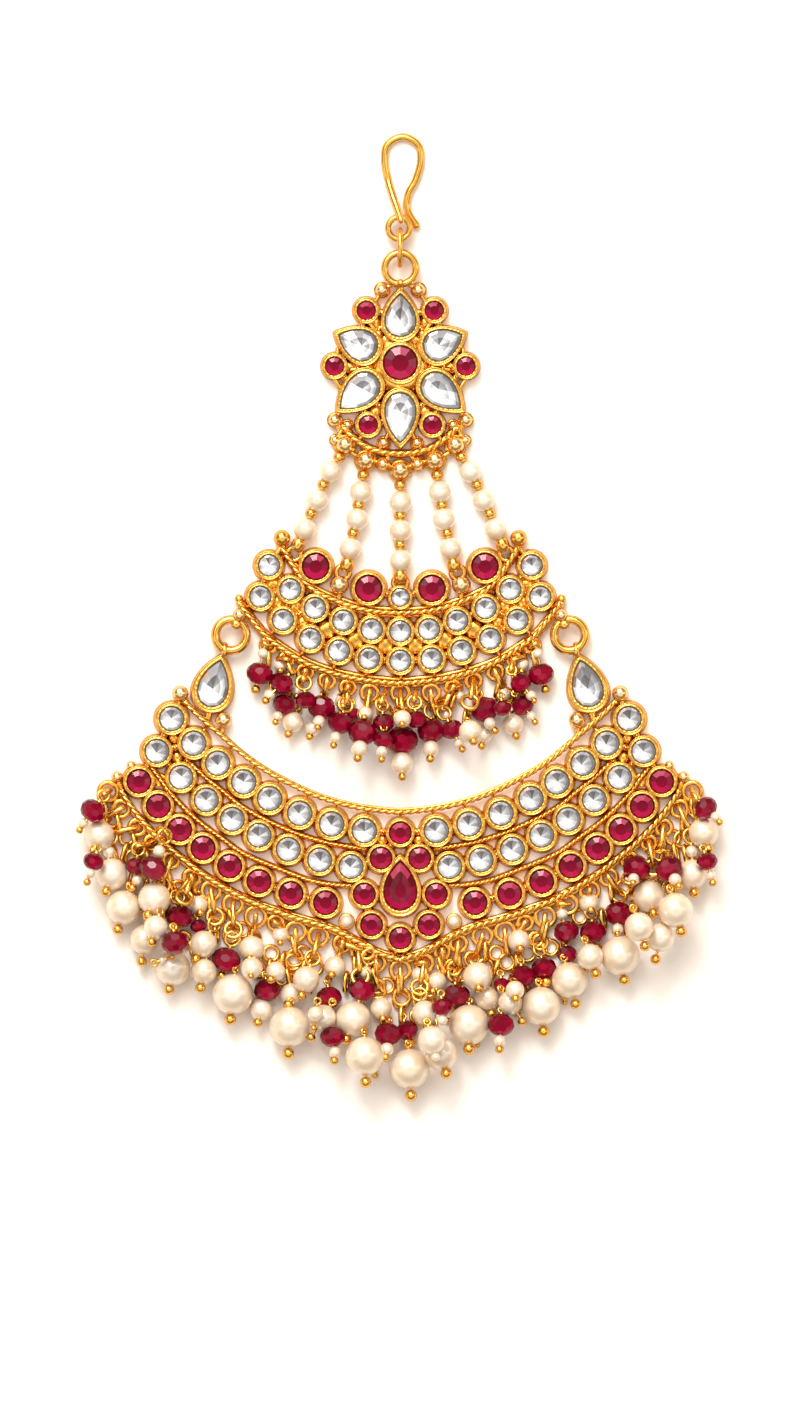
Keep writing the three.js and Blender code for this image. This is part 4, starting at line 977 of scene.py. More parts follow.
def lower_plate():
    """The large crescent: four rows of stones, a pear-shaped ruby and a crystal that stands off each side."""
    metal, clear, rubies, places = stones_and_bezels(LOWER_ROWS)
    wires = bridges(places, 1.6)
    wires += [loop(x, y, outer) for x, y, outer in LOWER_LOOPS]
    upper = across_middle(UPPER_ROPE)
    wires += rope(upper, ROPE_WIDTH * 0.86, ROPE_HEIGHT + 0.45)
    wires.append(rail(upper, 0, 0.42, 1.3, 0.42))
    wires += ties(places, upper)
    domes = []
    for side, _ in SIDES:
        half = [(side * x, y) for x, y in LOWER_ROPE]
        wires += rope(half, ROPE_WIDTH, ROPE_HEIGHT + 0.45)
        wires.append(rail(half, -side * 0.22, -0.36, 0.75, 0.85))
        wires.append(rail(half, -side * 0.3, 0.5, 0.5, 0.9))
        wires += ties([place for place in places if place[0] * side >= 0], half)
        for divider in (FIRST_DIVIDER, SECOND_DIVIDER):
            route = [(side * x, y) for x, y in divider]
            wires += rope(route, 0.62, 1.35, 1.5)
            wires.append(rail(route, 0, 0, 0.6, 1.0))
        for x, y, width, sides, bands, height in LOWER_DOMES:
            domes.append(ball(width, sides, bands).moved(side * x, y, height))
        for (ax, ay), (bx, by), height, wire in DOME_WIRES:
            wires.append(tube([(side * ax, ay, height), (side * bx, by, height)], wire, 8))
        wires.append(hoop(2.7, 1.0, 10, 30).moved(side * 26.35, -5.0, 1.37, axis=(1, 0, 0)))
        x, y = SIDE_PLACE
        wires.append(pear_bezel(side * x, y, SIDE_OPENING, SIDE_WALL, side * SIDE_LEAN, 2.0))
        x, y = SMALL_PEARL_PLACE
        wires.append(hoop(2.5, 0.5, 8, 30).moved(side * x, y, 0.85))
    wires.append(ball(1.0, 18, 10).moved(0, -51.4, 1.6))
    metal.append(pear_bezel(*CENTRE_PLACE, CENTRE_OPENING, CENTRE_WALL, 0, 2.0))
    place_gold("lower_bezels", metal, "lower_plate")
    place_gold("lower_wires", wires, "lower_plate")
    place_pale_gold("lower_domes", domes, "lower_plate")
    place_crystals("lower_clear_stones", clear, "lower_plate")
    place_rubies("lower_rubies", rubies, "lower_plate")
    x, y = SMALL_PEARL_PLACE
    grains = [ball(1.9, 28, 16).moved(side * x, y, 1.4) for side, _ in SIDES]
    place_pearls("lower_grain_pearls", grains, "lower_plate")
    place_rubies("centre_pear_ruby", [pear_stone(*CENTRE_PLACE, CENTRE_PEAR, 0, 1.6, False)], "centre_ruby")
    x, y = SIDE_PLACE
    for side, name in SIDES:
        stone = pear_stone(side * x, y, SIDE_PEAR, side * SIDE_LEAN, 1.6, True)
        place_crystals(f"side_crystal_{name}", [stone], f"side_stone_{name}")


lower_plate()

# ---- drops of the two fringes ----------------------------------------------------------------
# One row is one pin: the solid that holds it, or None where it is in no solid; the loop it hangs
# from, or None where it hangs from the pin above or lies behind the others; then what it carries
# from the top down, each with its kind, width, across and along.
LOWER_PINS = [
    ("lower_plate", (-43.8, -26.1),
     [("ruby", 3.9, -46.1, -29.0), ("seed", 1.6, -47.6, -30.9), ("head", 1.1, -48.1, -31.9)]),
    ("drop_01", (-41.9, -28.7), [("pearl", 4.6, -45.2, -32.7), ("head", 1.5, -46.1, -35.0)]),
    ("drop_02", (-39.5, -31.5),
     [("seed", 1.8, -43.7, -35.2), ("pearl", 4.8, -43.3, -38.5), ("head", 1.6, -44.2, -41.1)]),
    ("drop_03", (-37.3, -33.8),
     [("ruby", 3.0, -39.7, -37.3), ("seed", 1.6, -39.5, -39.4), ("head", 1.3, -40.2, -40.6)]),
    ("drop_03", None, [("pearl", 5.2, -41.5, -43.5), ("head", 1.6, -42.4, -46.8)]),
    ("drop_04", (-34.4, -36.4), [("pearl", 4.5, -38.3, -48.3), ("head", 1.6, -38.8, -51.6)]),
    ("drop_05", (-31.3, -39.0), [("ruby", 4.0, -33.1, -44.9)]),
    ("drop_05", None, [("pearl", 5.25, -34.1, -52.6), ("head", 1.6, -34.7, -55.8)]),
    ("drop_06", (-25.1, -43.0), [("ruby", 4.3, -26.1, -51.3), ("head", 1.4, -26.8, -53.7)]),
    ("drop_06", None, [("pearl", 6.1, -25.1, -56.5), ("head", 1.8, -25.5, -60.3)]),
    ("drop_07", (-15.7, -47.1), [("pearl", 3.3, -16.4, -56.5), ("head", 1.5, -16.8, -58.1)]),
    ("drop_07", None, [("pearl", 6.1, -16.6, -61.4), ("head", 1.8, -16.8, -65.4)]),
    ("drop_08", (-8.7, -48.9), [("seed", 1.8, -5.2, -53.2), ("ruby", 4.05, -5.8, -55.8)]),
    ("drop_08", None, [("pearl", 5.35, -7.1, -60.2), ("head", 1.6, -8.1, -63.3)]),
    ("drop_09", (-6.3, -50.1), [("pearl", 5.85, -5.3, -65.8), ("head", 1.7, -5.2, -69.7)]),
    ("drop_10", (0, -52.9), [("ruby", 3.3, 1.0, -61.9), ("head", 1.4, 1.6, -63.8)]),
    ("drop_10", None, [("pearl", 6.0, 1.4, -67.7), ("head", 1.8, 1.6, -71.7)]),
    ("drop_11", (3.6, -51.8), [("pearl", 4.95, 6.1, -65.5), ("head", 1.7, 6.9, -68.4)]),
    ("drop_12", (8.7, -48.9), [("ruby", 4.05, 8.4, -56.7)]),
    ("drop_12", None, [("pearl", 6.1, 10.3, -61.1), ("head", 1.8, 10.3, -64.7)]),
    ("drop_13", (21.7, -44.9), [("ruby", 3.75, 21.5, -52.6), ("head", 1.6, 21.9, -54.7)]),
    ("drop_13", None, [("pearl", 5.85, 21.1, -58.3), ("head", 1.8, 21.5, -62.1)]),
    ("drop_14", (25.1, -43.0), [("seed", 1.7, 24.3, -44.5), ("ruby", 3.75, 24.9, -47.1)]),
    ("drop_14", None, [("pearl", 5.4, 25.4, -54.4), ("head", 1.6, 26.3, -58.0)]),
    ("drop_15", (31.3, -39.0),
     [("ruby", 4.05, 32.7, -44.4), ("seed", 1.7, 32.6, -46.7), ("head", 0.9, 32.6, -47.4)]),
    ("drop_15", None, [("pearl", 6.0, 33.0, -50.7), ("head", 1.6, 33.6, -54.4)]),
    ("drop_16", (34.4, -36.4),
     [("ruby", 4.05, 35.4, -37.6), ("seed", 1.7, 35.0, -39.2), ("head", 1.0, 34.9, -39.8)]),
    ("drop_16", None, [("pearl", 4.8, 37.3, -41.8), ("head", 1.6, 38.0, -44.4)]),
    ("drop_17", (41.9, -28.7),
     [("seed", 1.8, 43.7, -35.1), ("pearl", 4.5, 43.8, -38.5), ("head", 1.6, 44.1, -41.3)]),
    ("drop_18", (43.8, -26.1), [("pearl", 4.5, 45.5, -32.3), ("head", 1.4, 46.3, -34.7)]),
    ("drop_19", (-37.3, -33.8), [("seed", 1.9, -36.2, -35.1), ("ruby", 4.15, -37.1, -37.6)]),
    ("drop_19", None, [("pearl", 4.9, -36.9, -42.2), ("head", 1.6, -37.9, -44.7)]),
    ("drop_20", (-28.4, -41.0), [("pearl", 4.1, -29.5, -49.0), ("head", 1.6, -30.7, -51.3)]),
    ("drop_20", None, [("pearl", 3.9, -29.5, -53.1), ("head", 1.6, -30.0, -55.6)]),
    ("drop_21", (3.6, -51.8), [("pearl", 3.75, 3.6, -59.3), ("head", 1.35, 4.1, -61.3)]),
    ("drop_21", None, [("pearl", 4.3, 4.7, -63.4), ("seed", 1.3, 5.3, -65.9)]),
    ("drop_22", (12.3, -47.8), [("pearl", 4.45, 11.6, -53.9), ("head", 1.4, 11.8, -55.6)]),
    ("drop_22", None, [("pearl", 3.8, 13.1, -57.1), ("head", 1.35, 13.7, -59.4)]),
    ("drop_23", (34.4, -36.4), [("pearl", 4.35, 35.8, -46.4), ("head", 1.6, 36.7, -49.3)]),
    ("drop_24", (37.3, -33.8), [("pearl", 4.35, 39.0, -48.0), ("head", 1.6, 38.3, -51.3)]),
    ("drop_25", (39.5, -31.5),
     [("ruby", 4.05, 40.3, -37.7), ("seed", 1.9, 41.2, -39.3), ("head", 1.2, 41.8, -40.3)]),
    ("drop_25", None, [("pearl", 5.25, 41.3, -43.9), ("head", 1.7, 42.15, -47.1)]),
    ("drop_26", (-12.3, -47.8), [("pearl", 4.0, -14.1, -54.3), ("head", 1.4, -14.8, -56.7)]),
    ("lower_plate", (43.8, -26.1),
     [("ruby", 3.6, 45.8, -28.6), ("seed", 1.6, 47.3, -29.9), ("head", 1.1, 47.9, -30.7)]),
    ("lower_plate", (-31.3, -39.0), [("ruby", 4.1, -33.8, -48.8)]),
    ("lower_plate", (-21.7, -44.9), [("pearl", 3.9, -22.3, -49.7), ("head", 1.3, -22.6, -51.2)]),
    ("lower_plate", None, [("ruby", 3.9, -20.0, -55.9)]),
    ("lower_plate", None, [("pearl", 3.4, -20.9, -58.8), ("head", 1.35, -21.4, -60.8)]),
    ("lower_plate", (-8.7, -48.9), [("pearl", 3.3, -9.8, -52.4), ("head", 1.2, -10.3, -53.6)]),
    ("lower_plate", None, [("ruby", 3.8, -10.7, -57.0)]),
    ("lower_plate", None, [("pearl", 3.9, -11.6, -60.0), ("head", 1.4, -13.4, -63.0)]),
    ("lower_plate", None,
     [("ruby", 3.6, -10.2, -62.9), ("seed", 1.8, -9.8, -65.2), ("head", 1.3, -9.9, -66.5)]),
    ("lower_plate", (-3.6, -51.8), [("pearl", 3.3, -2.9, -58.6), ("head", 1.2, -2.6, -60.2)]),
    ("lower_plate", None, [("ruby", 3.9, -1.9, -62.5), ("seed", 2.1, -2.0, -64.8), ("head", 1.2, -2.2, -66.0)]),
    ("lower_plate", (18.7, -45.8), [("pearl", 3.35, 17.8, -48.5), ("head", 1.35, 18.0, -49.7)]),
    ("lower_plate", None, [("ruby", 3.75, 18.3, -53.8)]),
    ("lower_plate", None, [("pearl", 3.6, 16.5, -57.8), ("head", 1.4, 18.3, -60.6)]),
    ("lower_plate", None,
     [("ruby", 3.9, 15.1, -61.1), ("seed", 1.8, 14.9, -63.5), ("head", 1.35, 14.9, -64.8)]),
    ("lower_plate", (28.4, -41.0), [("ruby", 3.9, 28.9, -47.2)]),
    ("lower_plate", None, [("pearl", 3.9, 28.5, -50.9), ("head", 1.6, 29.3, -53.4)]),
    (None, None, [("ruby", 3.1, -46.0, -36.6), ("seed", 1.5, -46.5, -38.4), ("head", 1.2, -47.0, -39.7)]),
    (None, None, [("ruby", 3.15, 46.0, -36.6), ("seed", 1.5, 46.6, -38.7), ("head", 1.2, 46.9, -39.8)]),
    (None, None, [("ruby", 3.0, 25.0, -50.5)]),
    (None, None, [("pearl", 3.3, -22.3, -52.6), ("head", 1.0, -22.4, -53.8)]),
    (None, None, [("ruby", 2.4, -30.3, -46.3)]),
    (None, None, [("ruby", 3.0, 6.2, -58.4), ("seed", 1.6, 6.3, -60.4)]),
    (None, None, [("ruby", 2.4, 15.2, -55.1)]),
    (None, None, [("pearl", 3.65, -36.7, -46.5), ("head", 1.4, -37.3, -48.7)]),
    (None, None, [("pearl", 2.95, -18.7, -53.1), ("head", 1.35, -19.4, -54.3)]),
    (None, None, [("pearl", 2.4, -12.7, -59.5), ("head", 1.0, -13.0, -61.6)]),
    (None, None, [("pearl", 2.85, 17.2, -55.9), ("head", 1.35, 17.3, -57.2)]),
    (None, (-31.3, -39.0), [("pearl", 2.8, -30.3, -43.1), ("head", 1.2, -30.0, -44.3)]),
    (None, (-18.7, -45.8), [("pearl", 2.5, -18.0, -47.6), ("head", 1.05, -18.0, -48.8)]),
    (None, (3.6, -51.8), [("seed", 2.25, 2.8, -53.6)]),
    (None, (6.3, -50.1), [("pearl", 2.85, 5.5, -54.6), ("head", 1.2, 4.9, -56.1)]),
    (None, (28.4, -41.0), [("pearl", 3.0, 28.4, -42.9), ("head", 1.2, 28.6, -43.9)]),
    (None, None, [("seed", 1.05, -35.7, -51.4), ("head", 0.8, -34.2, -50.9)]),
    (None, None, [("head", 1.0, -3.8, -68.7)]),
    (None, None, [("head", 0.7, 11.6, -64.2)]),
    (None, None, [("seed", 0.8, 17.7, -59.8)]),
    (None, None, [("head", 0.8, 24.7, -57.8)]),
]
MIDDLE_PINS = [
    ("drop_27", (-19.8, -4.2),
     [("seed", 1.6, -20.6, -5.4), ("ruby", 3.95, -21.1, -8.4), ("head", 1.4, -21.7, -10.8)]),
    ("drop_28", (-11.0, -9.5),
     [("ruby", 4.05, -11.8, -13.5), ("seed", 1.9, -12.2, -15.6), ("head", 1.0, -12.4, -16.5)]),
    ("drop_29", (-7.9, -10.5),
     [("ruby", 3.75, -9.0, -15.8), ("seed", 1.8, -9.7, -18.0), ("head", 1.1, -10.0, -19.2)]),
    ("drop_30", (-4.6, -11.3),
     [("ruby", 4.2, -5.7, -17.3), ("pearl", 2.55, -6.1, -19.7), ("head", 1.3, -6.4, -21.1)]),
    ("drop_31", (0, -11.3),
     [("ruby", 4.85, 0.2, -18.4), ("pearl", 3.45, 0.2, -21.9), ("head", 1.3, 0.3, -23.9)]),
    ("drop_32", (4.6, -11.3),
     [("ruby", 4.1, 4.6, -17.0), ("pearl", 2.5, 4.6, -19.7), ("head", 1.3, 4.5, -21.2)]),
    ("drop_33", (11.0, -9.5),
     [("ruby", 4.2, 12.7, -13.8), ("seed", 1.8, 13.4, -15.9), ("head", 1.2, 14.2, -17.0)]),
    ("drop_34", (19.8, -4.2),
     [("seed", 1.6, 20.6, -5.4), ("ruby", 3.9, 21.1, -8.5), ("head", 1.4, 21.8, -10.8)]),
    ("middle_plate", (-17.1, -6.3),
     [("ruby", 3.6, -17.8, -9.8), ("seed", 1.8, -19.6, -11.6), ("head", 1.2, -20.2, -12.5)]),
    ("middle_plate", None,
     [("ruby", 3.45, -17.4, -13.1), ("seed", 1.5, -18.4, -14.8), ("head", 1.05, -18.7, -15.7)]),
    ("middle_plate", None, [("pearl", 3.2, -16.1, -15.7), ("head", 1.3, -16.8, -17.5)]),
    ("middle_plate", (-14.3, -8.2), [("ruby", 3.0, -14.2, -12.4)]),
    ("middle_plate", (7.9, -10.5),
     [("ruby", 3.3, 7.8, -16.8), ("seed", 1.6, 8.8, -18.9), ("head", 1.1, 9.3, -19.8)]),
    ("middle_plate", (11.0, -9.5), [("pearl", 3.45, 10.5, -17.1), ("head", 1.3, 11.0, -18.6)]),
    ("middle_plate", (14.3, -8.2), [("pearl", 3.2, 16.9, -16.0), ("head", 1.3, 17.4, -17.8)]),
    ("middle_plate", (17.1, -6.3),
     [("ruby", 3.3, 18.1, -9.8), ("seed", 1.6, 19.6, -11.7), ("head", 0.95, 20.1, -12.5)]),
    ("middle_plate", None,
     [("ruby", 3.45, 18.4, -13.1), ("seed", 1.6, 19.7, -14.8), ("head", 1.1, 20.2, -15.7)]),
    (None, (-2.3, -11.3), [("ruby", 3.3, -2.5, -15.8)]),
    (None, None, [("ruby", 3.0, -2.6, -18.3), ("seed", 1.7, -2.8, -20.1), ("head", 1.1, -2.8, -21.3)]),
    (None, (2.3, -11.3), [("ruby", 3.0, 2.4, -15.3)]),
    (None, None, [("ruby", 2.4, -7.2, -14.5)]),
    (None, None, [("ruby", 2.7, 15.3, -13.6)]),
    (None, None, [("pearl", 2.4, 12.6, -17.7), ("head", 1.2, 12.2, -19.3)]),
    (None, None, [("pearl", 2.5, -13.1, -16.6), ("head", 1.2, -13.6, -17.9)]),
    (None, (-17.1, -6.3), [("pearl", 2.0, -18.0, -7.2), ("head", 1.0, -18.0, -8.0)]),
    (None, (-14.3, -8.2), [("pearl", 2.05, -15.3, -11.1), ("head", 1.0, -15.5, -11.8)]),
    (None, (-7.9, -10.5), [("pearl", 2.25, -8.7, -12.6), ("head", 0.95, -8.6, -13.3)]),
    (None, (-4.6, -11.3), [("pearl", 2.4, -5.3, -14.5), ("head", 1.0, -5.4, -15.0)]),
    (None, (0, -11.3), [("pearl", 2.65, 0.3, -15.2), ("head", 1.05, 0.3, -16.0)]),
    (None, (7.9, -10.5), [("pearl", 2.05, 6.9, -14.7), ("head", 0.9, 7.2, -15.6)]),
    (None, (7.9, -10.5), [("seed", 1.65, 8.9, -11.8)]),
    (None, (14.3, -8.2), [("seed", 1.9, 15.5, -11.5)]),
    (None, (17.1, -6.3), [("pearl", 2.0, 18.3, -7.1), ("head", 1.05, 18.2, -8.1)]),
]
RUBY_FLATNESS = 0.86
RUBY_REACH = 0.84  # how far a faceted bead reaches along its pin, as a share of half its width
FLATS_AROUND = 10
# rows of flats: how far each leans up from the bead's waist, and its turn as a share of one flat
FLAT_ROWS = [(17, 0), (-17, 0.5), (47, 0.5), (-47, 0), (74, 0), (-74, 0.5)]


def rondelle_planes():
    """Flats of a faceted bead about its pin: staggered rows above and below its waist, and two ends."""
    planes = [((0, 0, 1), RUBY_FLATNESS * 0.93), ((0, 0, -1), RUBY_FLATNESS * 0.93)]
    for lift, offset in FLAT_ROWS:
        for k in range(FLATS_AROUND):
            a = (k + offset) / FLATS_AROUND * FULL_TURN
            e = math.radians(lift)
            n = (math.cos(e) * math.cos(a), math.cos(e) * math.sin(a), math.sin(e))
            reach = math.sqrt(n[0] ** 2 + n[1] ** 2 + (RUBY_FLATNESS * n[2]) ** 2)
            planes.append((n, reach * 0.975))
    return planes


RONDELLE = cut_stone(rondelle_planes())


def off_floor(shape):
    """Lifts a shape that would dip into the floor."""
    lowest = shape.points[:, 2].min()
    return shape.moved(z=max(0.0, FLOOR_CLEAR - lowest))


def ruby_bead(width, centre, axis):
    """A faceted bead on its pin; each facet has a tone by the way it faces: a painted glow, brighter in the
    facets that face away from the key light, towards -Y and +X, and in those that face up, and a random part.
    """
    cut = Shape(RONDELLE.points * width / 2, RONDELLE.faces, False)
    cut = cut.moved(*centre, axis=axis, spin=shuffle.uniform(0, 6.28))
    cut.tones = []
    for (facet,) in cut.faces:
        facing = (cut.points[facet].mean(axis=0) - centre) / (width / 2)
        # painted glow: light passing through the bead, painted on the facets away from the key light
        painted_glow = 0.5 - 0.42 * facing[1] + 0.12 * facing[0] + 0.2 * (facing[2] - 0.6)
        cut.tones.append(clamp(painted_glow + shuffle.uniform(-0.16, 0.16)))
    return off_floor(cut)


SOLIDS = {}  # solids that beads are set on, each made ready once


def solid_height(node, width, x, y):
    """Height of a bead's middle from the top of the solid that holds it, or None where it has no top there."""
    if node not in SOLIDS:
        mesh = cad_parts[node].data
        corners = [corner.co for corner in mesh.vertices]
        SOLIDS[node] = BVHTree.FromPolygons(corners, [face.vertices for face in mesh.polygons])
    place, _, _, _ = SOLIDS[node].ray_cast(Vector((x * MM, y * MM, 0.1)), Vector((0, 0, -1)))
    if place is None:
        return None
    coarse = 0.866 if width > 2.9 else 0.75
    return place.z / MM - width / 2 * coarse


def resting(width, x, y, laid):
    """Lowest height at which a bead fits between or on those laid before it."""
    r = width / 2
    z = r + FLOOR_CLEAR
    for _ in range(40):
        raised = []
        for centre, other in laid:
            reach = other / 2 + r
            aside, along = (centre[0] - x) ** 2, (centre[1] - y) ** 2
            if aside + along + (centre[2] - z) ** 2 < (reach * 0.97) ** 2:
                raised.append(centre[2] + math.sqrt(max(0, (reach * 0.975) ** 2 - aside - along)))
        if not raised:
            return z
        z = max(raised) + 0.02
    return z


def main_bead(items):
    """Number of the first ruby or pearl of a pin."""
    return next((i for i, item in enumerate(items) if item[0] in ("ruby", "pearl")), 0)


def strung(items, base_height):
    """Places of what a pin carries: each touches the next, leaning up towards the pin's foot."""
    base = main_bead(items)
    heights = {base: base_height}
    thick = lambda item: item[1] / 2 * (RUBY_REACH if item[0] == "ruby" else 0.95)
    for step, slope in ((1, 1), (-1, -0.35)):
        i = base + step
        while 0 <= i < len(items):
            a, b = items[i - step], items[i]
            level = math.hypot(a[2] - b[2], a[3] - b[3])
            rise = math.sqrt(max(0.0, (thick(a) + thick(b)) ** 2 - level ** 2))
            heights[i] = heights[i - step] + slope * rise
            i += step
    lowest = [width / 2 + FLOOR_CLEAR for _, width, _, _ in items]
    return [np.array([x, y, max(heights[i], lowest[i])]) for i, (_, _, x, y) in enumerate(items)]


def laid_ring(ring, place, along, face):
    """Carries a ring to a place, with its length along one direction and its hole along another."""
    face = unit(face)
    turn = np.stack([np.cross(along, face), along, face])
    return off_floor(Shape(ring.points @ turn + place, ring.faces))


def sideways(axis):
    """The level direction square to another."""
    side = np.cross(axis, (0, 0, 1))
    if np.linalg.norm(side) < 0.2:
        side = np.array([1.0, 0, 0])
    return unit(side)


# turns of wire under an eye: radius, place along the pin
WRAPS = [(0.22, -0.3), (0.36, -0.22), (0.28, -0.1), (0.36, 0), (0.28, 0.1), (0.36, 0.22), (0.22, 0.3)]


def eye(place, axis, width):
    """The wire eye at the top of a pin: a hoop over a few wraps."""
    side = sideways(axis)
    tilt = shuffle.uniform(0.9, 1.5)
    face = side * math.cos(tilt) + np.cross(side, axis) * math.sin(tilt)
    wire = EYE_WIRE * (1 + 0.4 * (width - SMALL_EYE) / (LARGE_EYE - SMALL_EYE))
    return [laid_ring(hoop(width, wire, 8, 26), place + axis * width * 0.5, axis, face),
            off_floor(turned(WRAPS, 12).moved(*place, axis=axis))]


def sagging(start, end):
    """A fine chain that runs low between two places."""
    quarter, rest = start + (end - start) * 0.25, start + (end - start) * 0.75
    quarter[2], rest[2] = min(quarter[2], LOW_CHAIN), min(rest[2], LOW_CHAIN)
    route = flowing([start, quarter, rest, end], 1.15)
    shapes = []
    for i, (here, after) in enumerate(zip(route, route[1:])):
        axis = unit(after - here)
        face = sideways(axis) if i % 2 else np.cross(sideways(axis), axis)
        shapes.append(laid_ring(hoop(1.2, 0.36, 6, 14, 1.4), (here + after) / 2, axis, face))
    return shapes


def links(start, end):
    """From a loop to the eye of a pin: an upright link, then a flat ring and a chain where there is room."""
    reach = end - start
    length = np.linalg.norm(reach)
    if length < 0.5:
        return []
    axis = reach / length
    side = sideways(axis)
    long = min(LONGEST_LINK, length + 1.5)
    upright = hoop(LINK_WIDTH, LINK_WIRE, 10, 28, long=max(2.3, long) / LINK_WIDTH)
    shapes = [laid_ring(upright, start + axis * (long / 2 - 0.75), axis, side)]
    done = long - 1.5
    if length - done > 1.4:
        wide = min(SECOND_RING, length - done + 1.2)
        ring = hoop(wide, SECOND_WIRE, 10, 28)
        shapes.append(laid_ring(ring, start + axis * (done + wide / 2 - 0.3), axis, np.cross(side, axis)))
        done += wide - 0.6
    if length - done > 0.8:
        shapes += sagging(start + axis * done, end)
    return shapes


# links and rings that lie low behind the beads, under each loop and between two loops:
# how far down, width, length, wire, and how far they lean
UNDER_LOOPS = [(2.2, 2.0, 3.7, 0.8, 1.45), (4.6, 2.9, 2.9, 0.62, 0.2),
               (7.0, 2.0, 3.7, 0.8, 1.3), (9.2, 2.7, 2.7, 0.6, 0.3)]
BESIDE_LOOPS = [(2.4, 2.7, 2.7, 0.6, 0.25), (4.7, 1.9, 3.5, 0.75, 1.2),
                (7.0, 2.8, 2.8, 0.6, 0.3), (9.3, 1.9, 3.5, 0.75, 1.2)]


def has_room(place, width, wire, lean, laid):
    """Whether a leaning ring can lie at a place without cutting a bead."""
    for centre, bead in laid:
        apart = math.hypot(centre[0] - place[0], centre[1] - place[1])
        dip = max(0.0, (bead / 2) ** 2 - max(0.0, centre[2] - place[2] - 0.3) ** 2)
        if apart < math.sqrt(dip) + (width * math.cos(lean) + wire) * 0.3:
            return False
    return True


def low_chains(loops, rings, laid):
    """The rings behind the beads: only those with room to lie between them."""
    shapes = []
    for x, y, _ in loops:
        drift = 0.12 * x / abs(x) if x else 0.0
        for down, width, long, wire, lean in rings:
            sway, yaw = shuffle.uniform(-0.3, 0.3), shuffle.uniform(-0.4, 0.4)
            up = wire / 2 + (width - wire) / 2 * math.sin(lean)
            place = np.array([x + drift * down + sway, y - down, up])
            if has_room(place, width, wire, lean, laid):
                aside = math.sin(lean)
                face = np.array([math.cos(yaw) * aside, -math.sin(yaw) * aside, math.cos(lean)])
                ring = hoop(width, wire, 8, 24, long / width)
                shapes.append(laid_ring(ring, place, np.array([math.sin(yaw), math.cos(yaw), 0]), face))
    return shapes


def carried(kind, width, place, axis):
    """One thing that a pin carries: a ruby, its head, or a large or small pearl."""
    if kind == "ruby":
        return ruby_bead(width, place, axis)
    if kind == "head":
        return ball(width, 20, 12).moved(*place)
    sides = 24 if kind == "seed" or width < SEED else 36
    return ball(width, sides, sides // 2).moved(*place, axis=axis)


def pin_axis(places):
    """The way a pin runs, from its top to its foot."""
    axis = places[-1] - places[0]
    if np.linalg.norm(axis) < 0.1:
        axis = np.array([0.1, -1.0, 0.25])
    return unit(axis)


def below(x, y):
    """Where the first link leaves a loop."""
    return np.array([x, y, HANGING_HEIGHT])


def dress_pins(rows, label, loops, depth):
    """One fringe: its pins with their beads, eyes and links, then the rings that lie behind them."""
    laid = []
    gathered = {}
    top_of_last, last_node = None, None
    for node, hang, items in rows:
        _, width, x, y = items[main_bead(items)]
        height = solid_height(node, width, x, y) if node else None
        if height is None:
            height = resting(width, x, y, laid)
        places = strung(items, height)
        laid += [(place, item[1]) for place, item in zip(places, items)]
        name = node if node and node.startswith("drop") else label
        made = gathered.setdefault(name, {"pearls": [], "rubies": [], "pins": []})
        axis = pin_axis(places)
        for place, (kind, width, _, _) in zip(places, items):
            group = {"ruby": "rubies", "head": "pins"}.get(kind, "pearls")
            made[group].append(carried(kind, width, place, axis))
        kind, width = items[0][:2]
        top = places[0] - axis * (width / 2 * (RUBY_REACH if kind == "ruby" else 1.0) + 0.1)
        metal = made["pins"]
        metal.append(off_floor(tube([top, places[-1]], PIN_WIRE, 8)))
        if hang is not None:
            start = below(*hang)
            gap = np.linalg.norm(top - start)
            width = SMALL_EYE if gap > 7 else min(LARGE_EYE, max(SMALL_EYE, gap - 1.2))
            metal += eye(top, -axis, width)
            metal += links(start, top - axis * (width - 0.75))
        else:
            metal += eye(top, -axis, SMALL_EYE)
            if node and node == last_node:
                metal += sagging(top - axis * 0.8, top_of_last)
        top_of_last, last_node = places[0], node
    hung = {hang for _, hang, _ in rows}
    spare = [below(x, y) for x, y, _ in loops if (x, y) not in hung]
    ordered = sorted(loops)
    between = [((a[0] + b[0]) / 2, (a[1] + b[1]) / 2 - 0.5, 0) for a, b in zip(ordered, ordered[1:])]
    behind = [ring for start in spare for ring in links(start, start + (0.012 * start[0], -2.6, -0.2))]
    behind += low_chains(loops, UNDER_LOOPS[:depth], laid)
    behind += low_chains(between, BESIDE_LOOPS[:depth], laid)
    gathered[label]["pins"] += behind
    for name, made in gathered.items():
        nodes = [name] if name.startswith("drop") else []
        if made["pearls"]:
            place_pearls(f"{name}_pearls", made["pearls"], *nodes)
        if made["rubies"]:
            place_piece(f"{name}_rubies", made["rubies"], RUBY_BEAD, "ruby", *nodes)
        place_gold(f"{name}_pins", made["pins"], *nodes)


dress_pins(LOWER_PINS, "lower_fringe", LOWER_LOOPS, 4)
dress_pins(MIDDLE_PINS, "middle_fringe", MIDDLE_LOOPS, 2)

# ---- floor, light and camera --------------------------------------------------------------------
FLOOR_HALF = 1.5
floor_mesh = bpy.data.meshes.new("floor")
floor_mesh.from_pydata([
    (x * FLOOR_HALF, y * FLOOR_HALF, 0) for x, y in ((-1, -1), (1, -1), (1, 1), (-1, 1))], [], [(0, 1, 2, 3)])
floor = bpy.data.objects.new("floor", floor_mesh)
bpy.context.scene.collection.objects.link(floor)
floor_mesh.materials.append(finish("pale floor", lambda bench: {
    "Base Color": colour(0.96, 0.875, 0.78), "Roughness": 0.9, "Specular IOR Level": 0.1}))


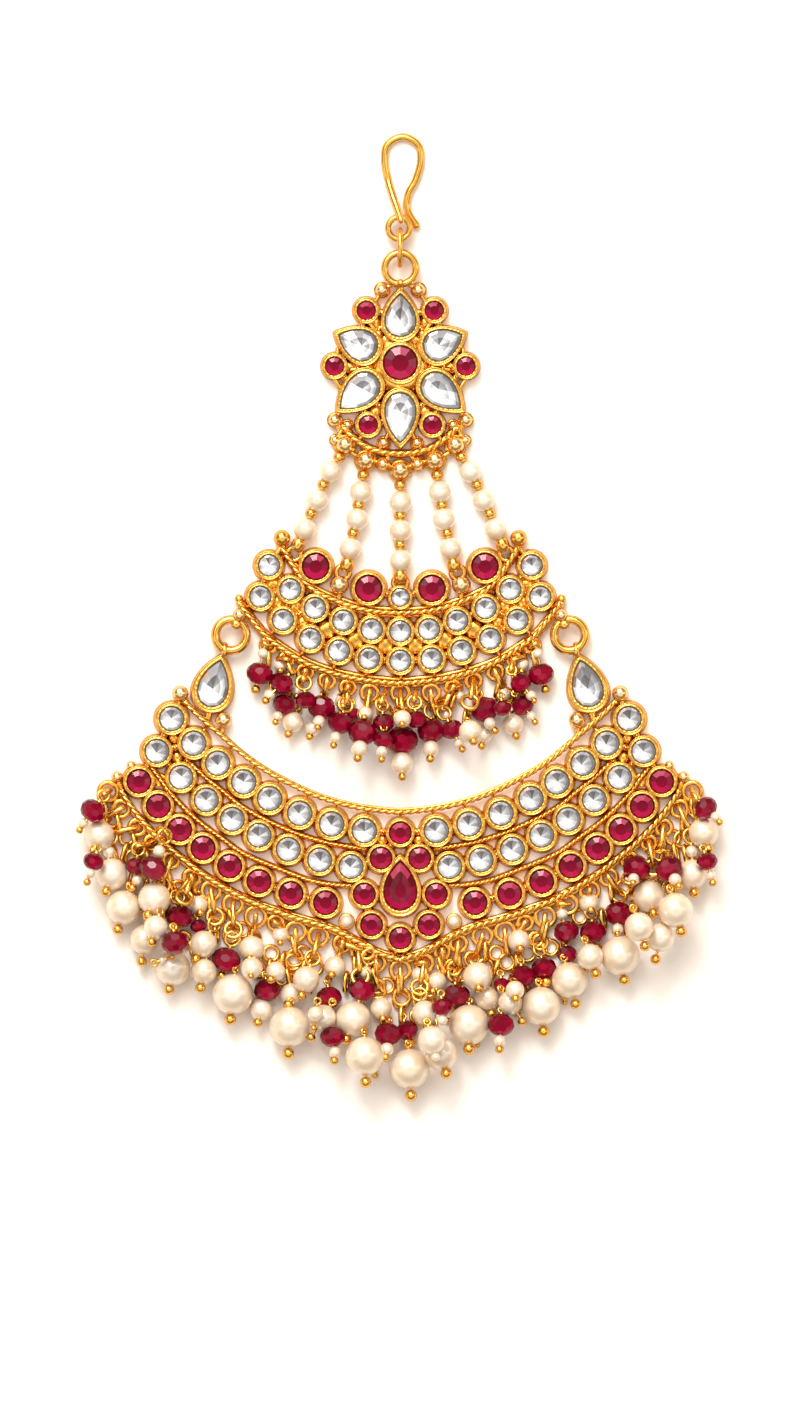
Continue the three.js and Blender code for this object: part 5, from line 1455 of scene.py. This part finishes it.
def softbox(name, place, size, power):
    """A lamp with a square front that faces the ornament."""
    lamp = bpy.data.lights.new(name, "AREA")
    lamp.shape = "RECTANGLE"
    lamp.size, lamp.size_y = size
    lamp.energy = power
    holder = bpy.data.objects.new(name, lamp)
    holder.location = place
    holder.rotation_euler = (-Vector(place)).to_track_quat("-Z", "Y").to_euler()
    bpy.context.scene.collection.objects.link(holder)


# place and size in metres, then the power in watts
softbox("key_softbox", (-0.35, 1.28, 1.48), (1.8, 1.8), 34.0)
softbox("key_core", (-0.36, 1.26, 1.45), (0.5, 0.5), 17.0)
softbox("side_strip", (1.5, 0.20, 1.1), (0.4, 1.4), 3.0)
softbox("left_strip", (-1.7, -0.4, 0.9), (0.4, 1.4), 2.0)

world = bpy.data.worlds.new("studio")
world.use_nodes = True
bpy.context.scene.world = world
studio = Bench(world.node_tree)
direction = studio.node("ShaderNodeTexCoord", output=0)
height = studio.node("ShaderNodeSeparateXYZ", None, {0: direction}, 2)
tent = studio.ramp(height, [
    (0.0, (0.60, 0.45, 0.32)), (0.2, (0.42, 0.33, 0.24)),
    (0.45, (0.15, 0.12, 0.09)), (0.65, (0.28, 0.27, 0.26)),
    (0.74, (0.42, 0.42, 0.42)), (0.83, (1.15, 1.15, 1.15)),
    (0.94, (1.15, 1.15, 1.15)), (0.99, (0.3, 0.3, 0.3))])
backdrop = studio.node("ShaderNodeBackground", None, {"Color": tent, "Strength": 1.18})
studio.node("ShaderNodeOutputWorld", None, {"Surface": backdrop})

# the height and the middle of what the camera sees, and how high it hangs
PICTURE_HEIGHT = 210.75
PICTURE_MIDDLE = (-0.045, -12.75)
CAMERA_HEIGHT = 600
camera_data = bpy.data.cameras.new("camera")
camera_data.type = "ORTHO"
camera_data.ortho_scale = PICTURE_HEIGHT * MM
camera_data.clip_end = 10
camera = bpy.data.objects.new("camera", camera_data)
camera.location = (PICTURE_MIDDLE[0] * MM, PICTURE_MIDDLE[1] * MM, CAMERA_HEIGHT * MM)
bpy.context.scene.collection.objects.link(camera)
bpy.context.scene.camera = camera
bpy.context.scene.view_settings.view_transform = "Standard"
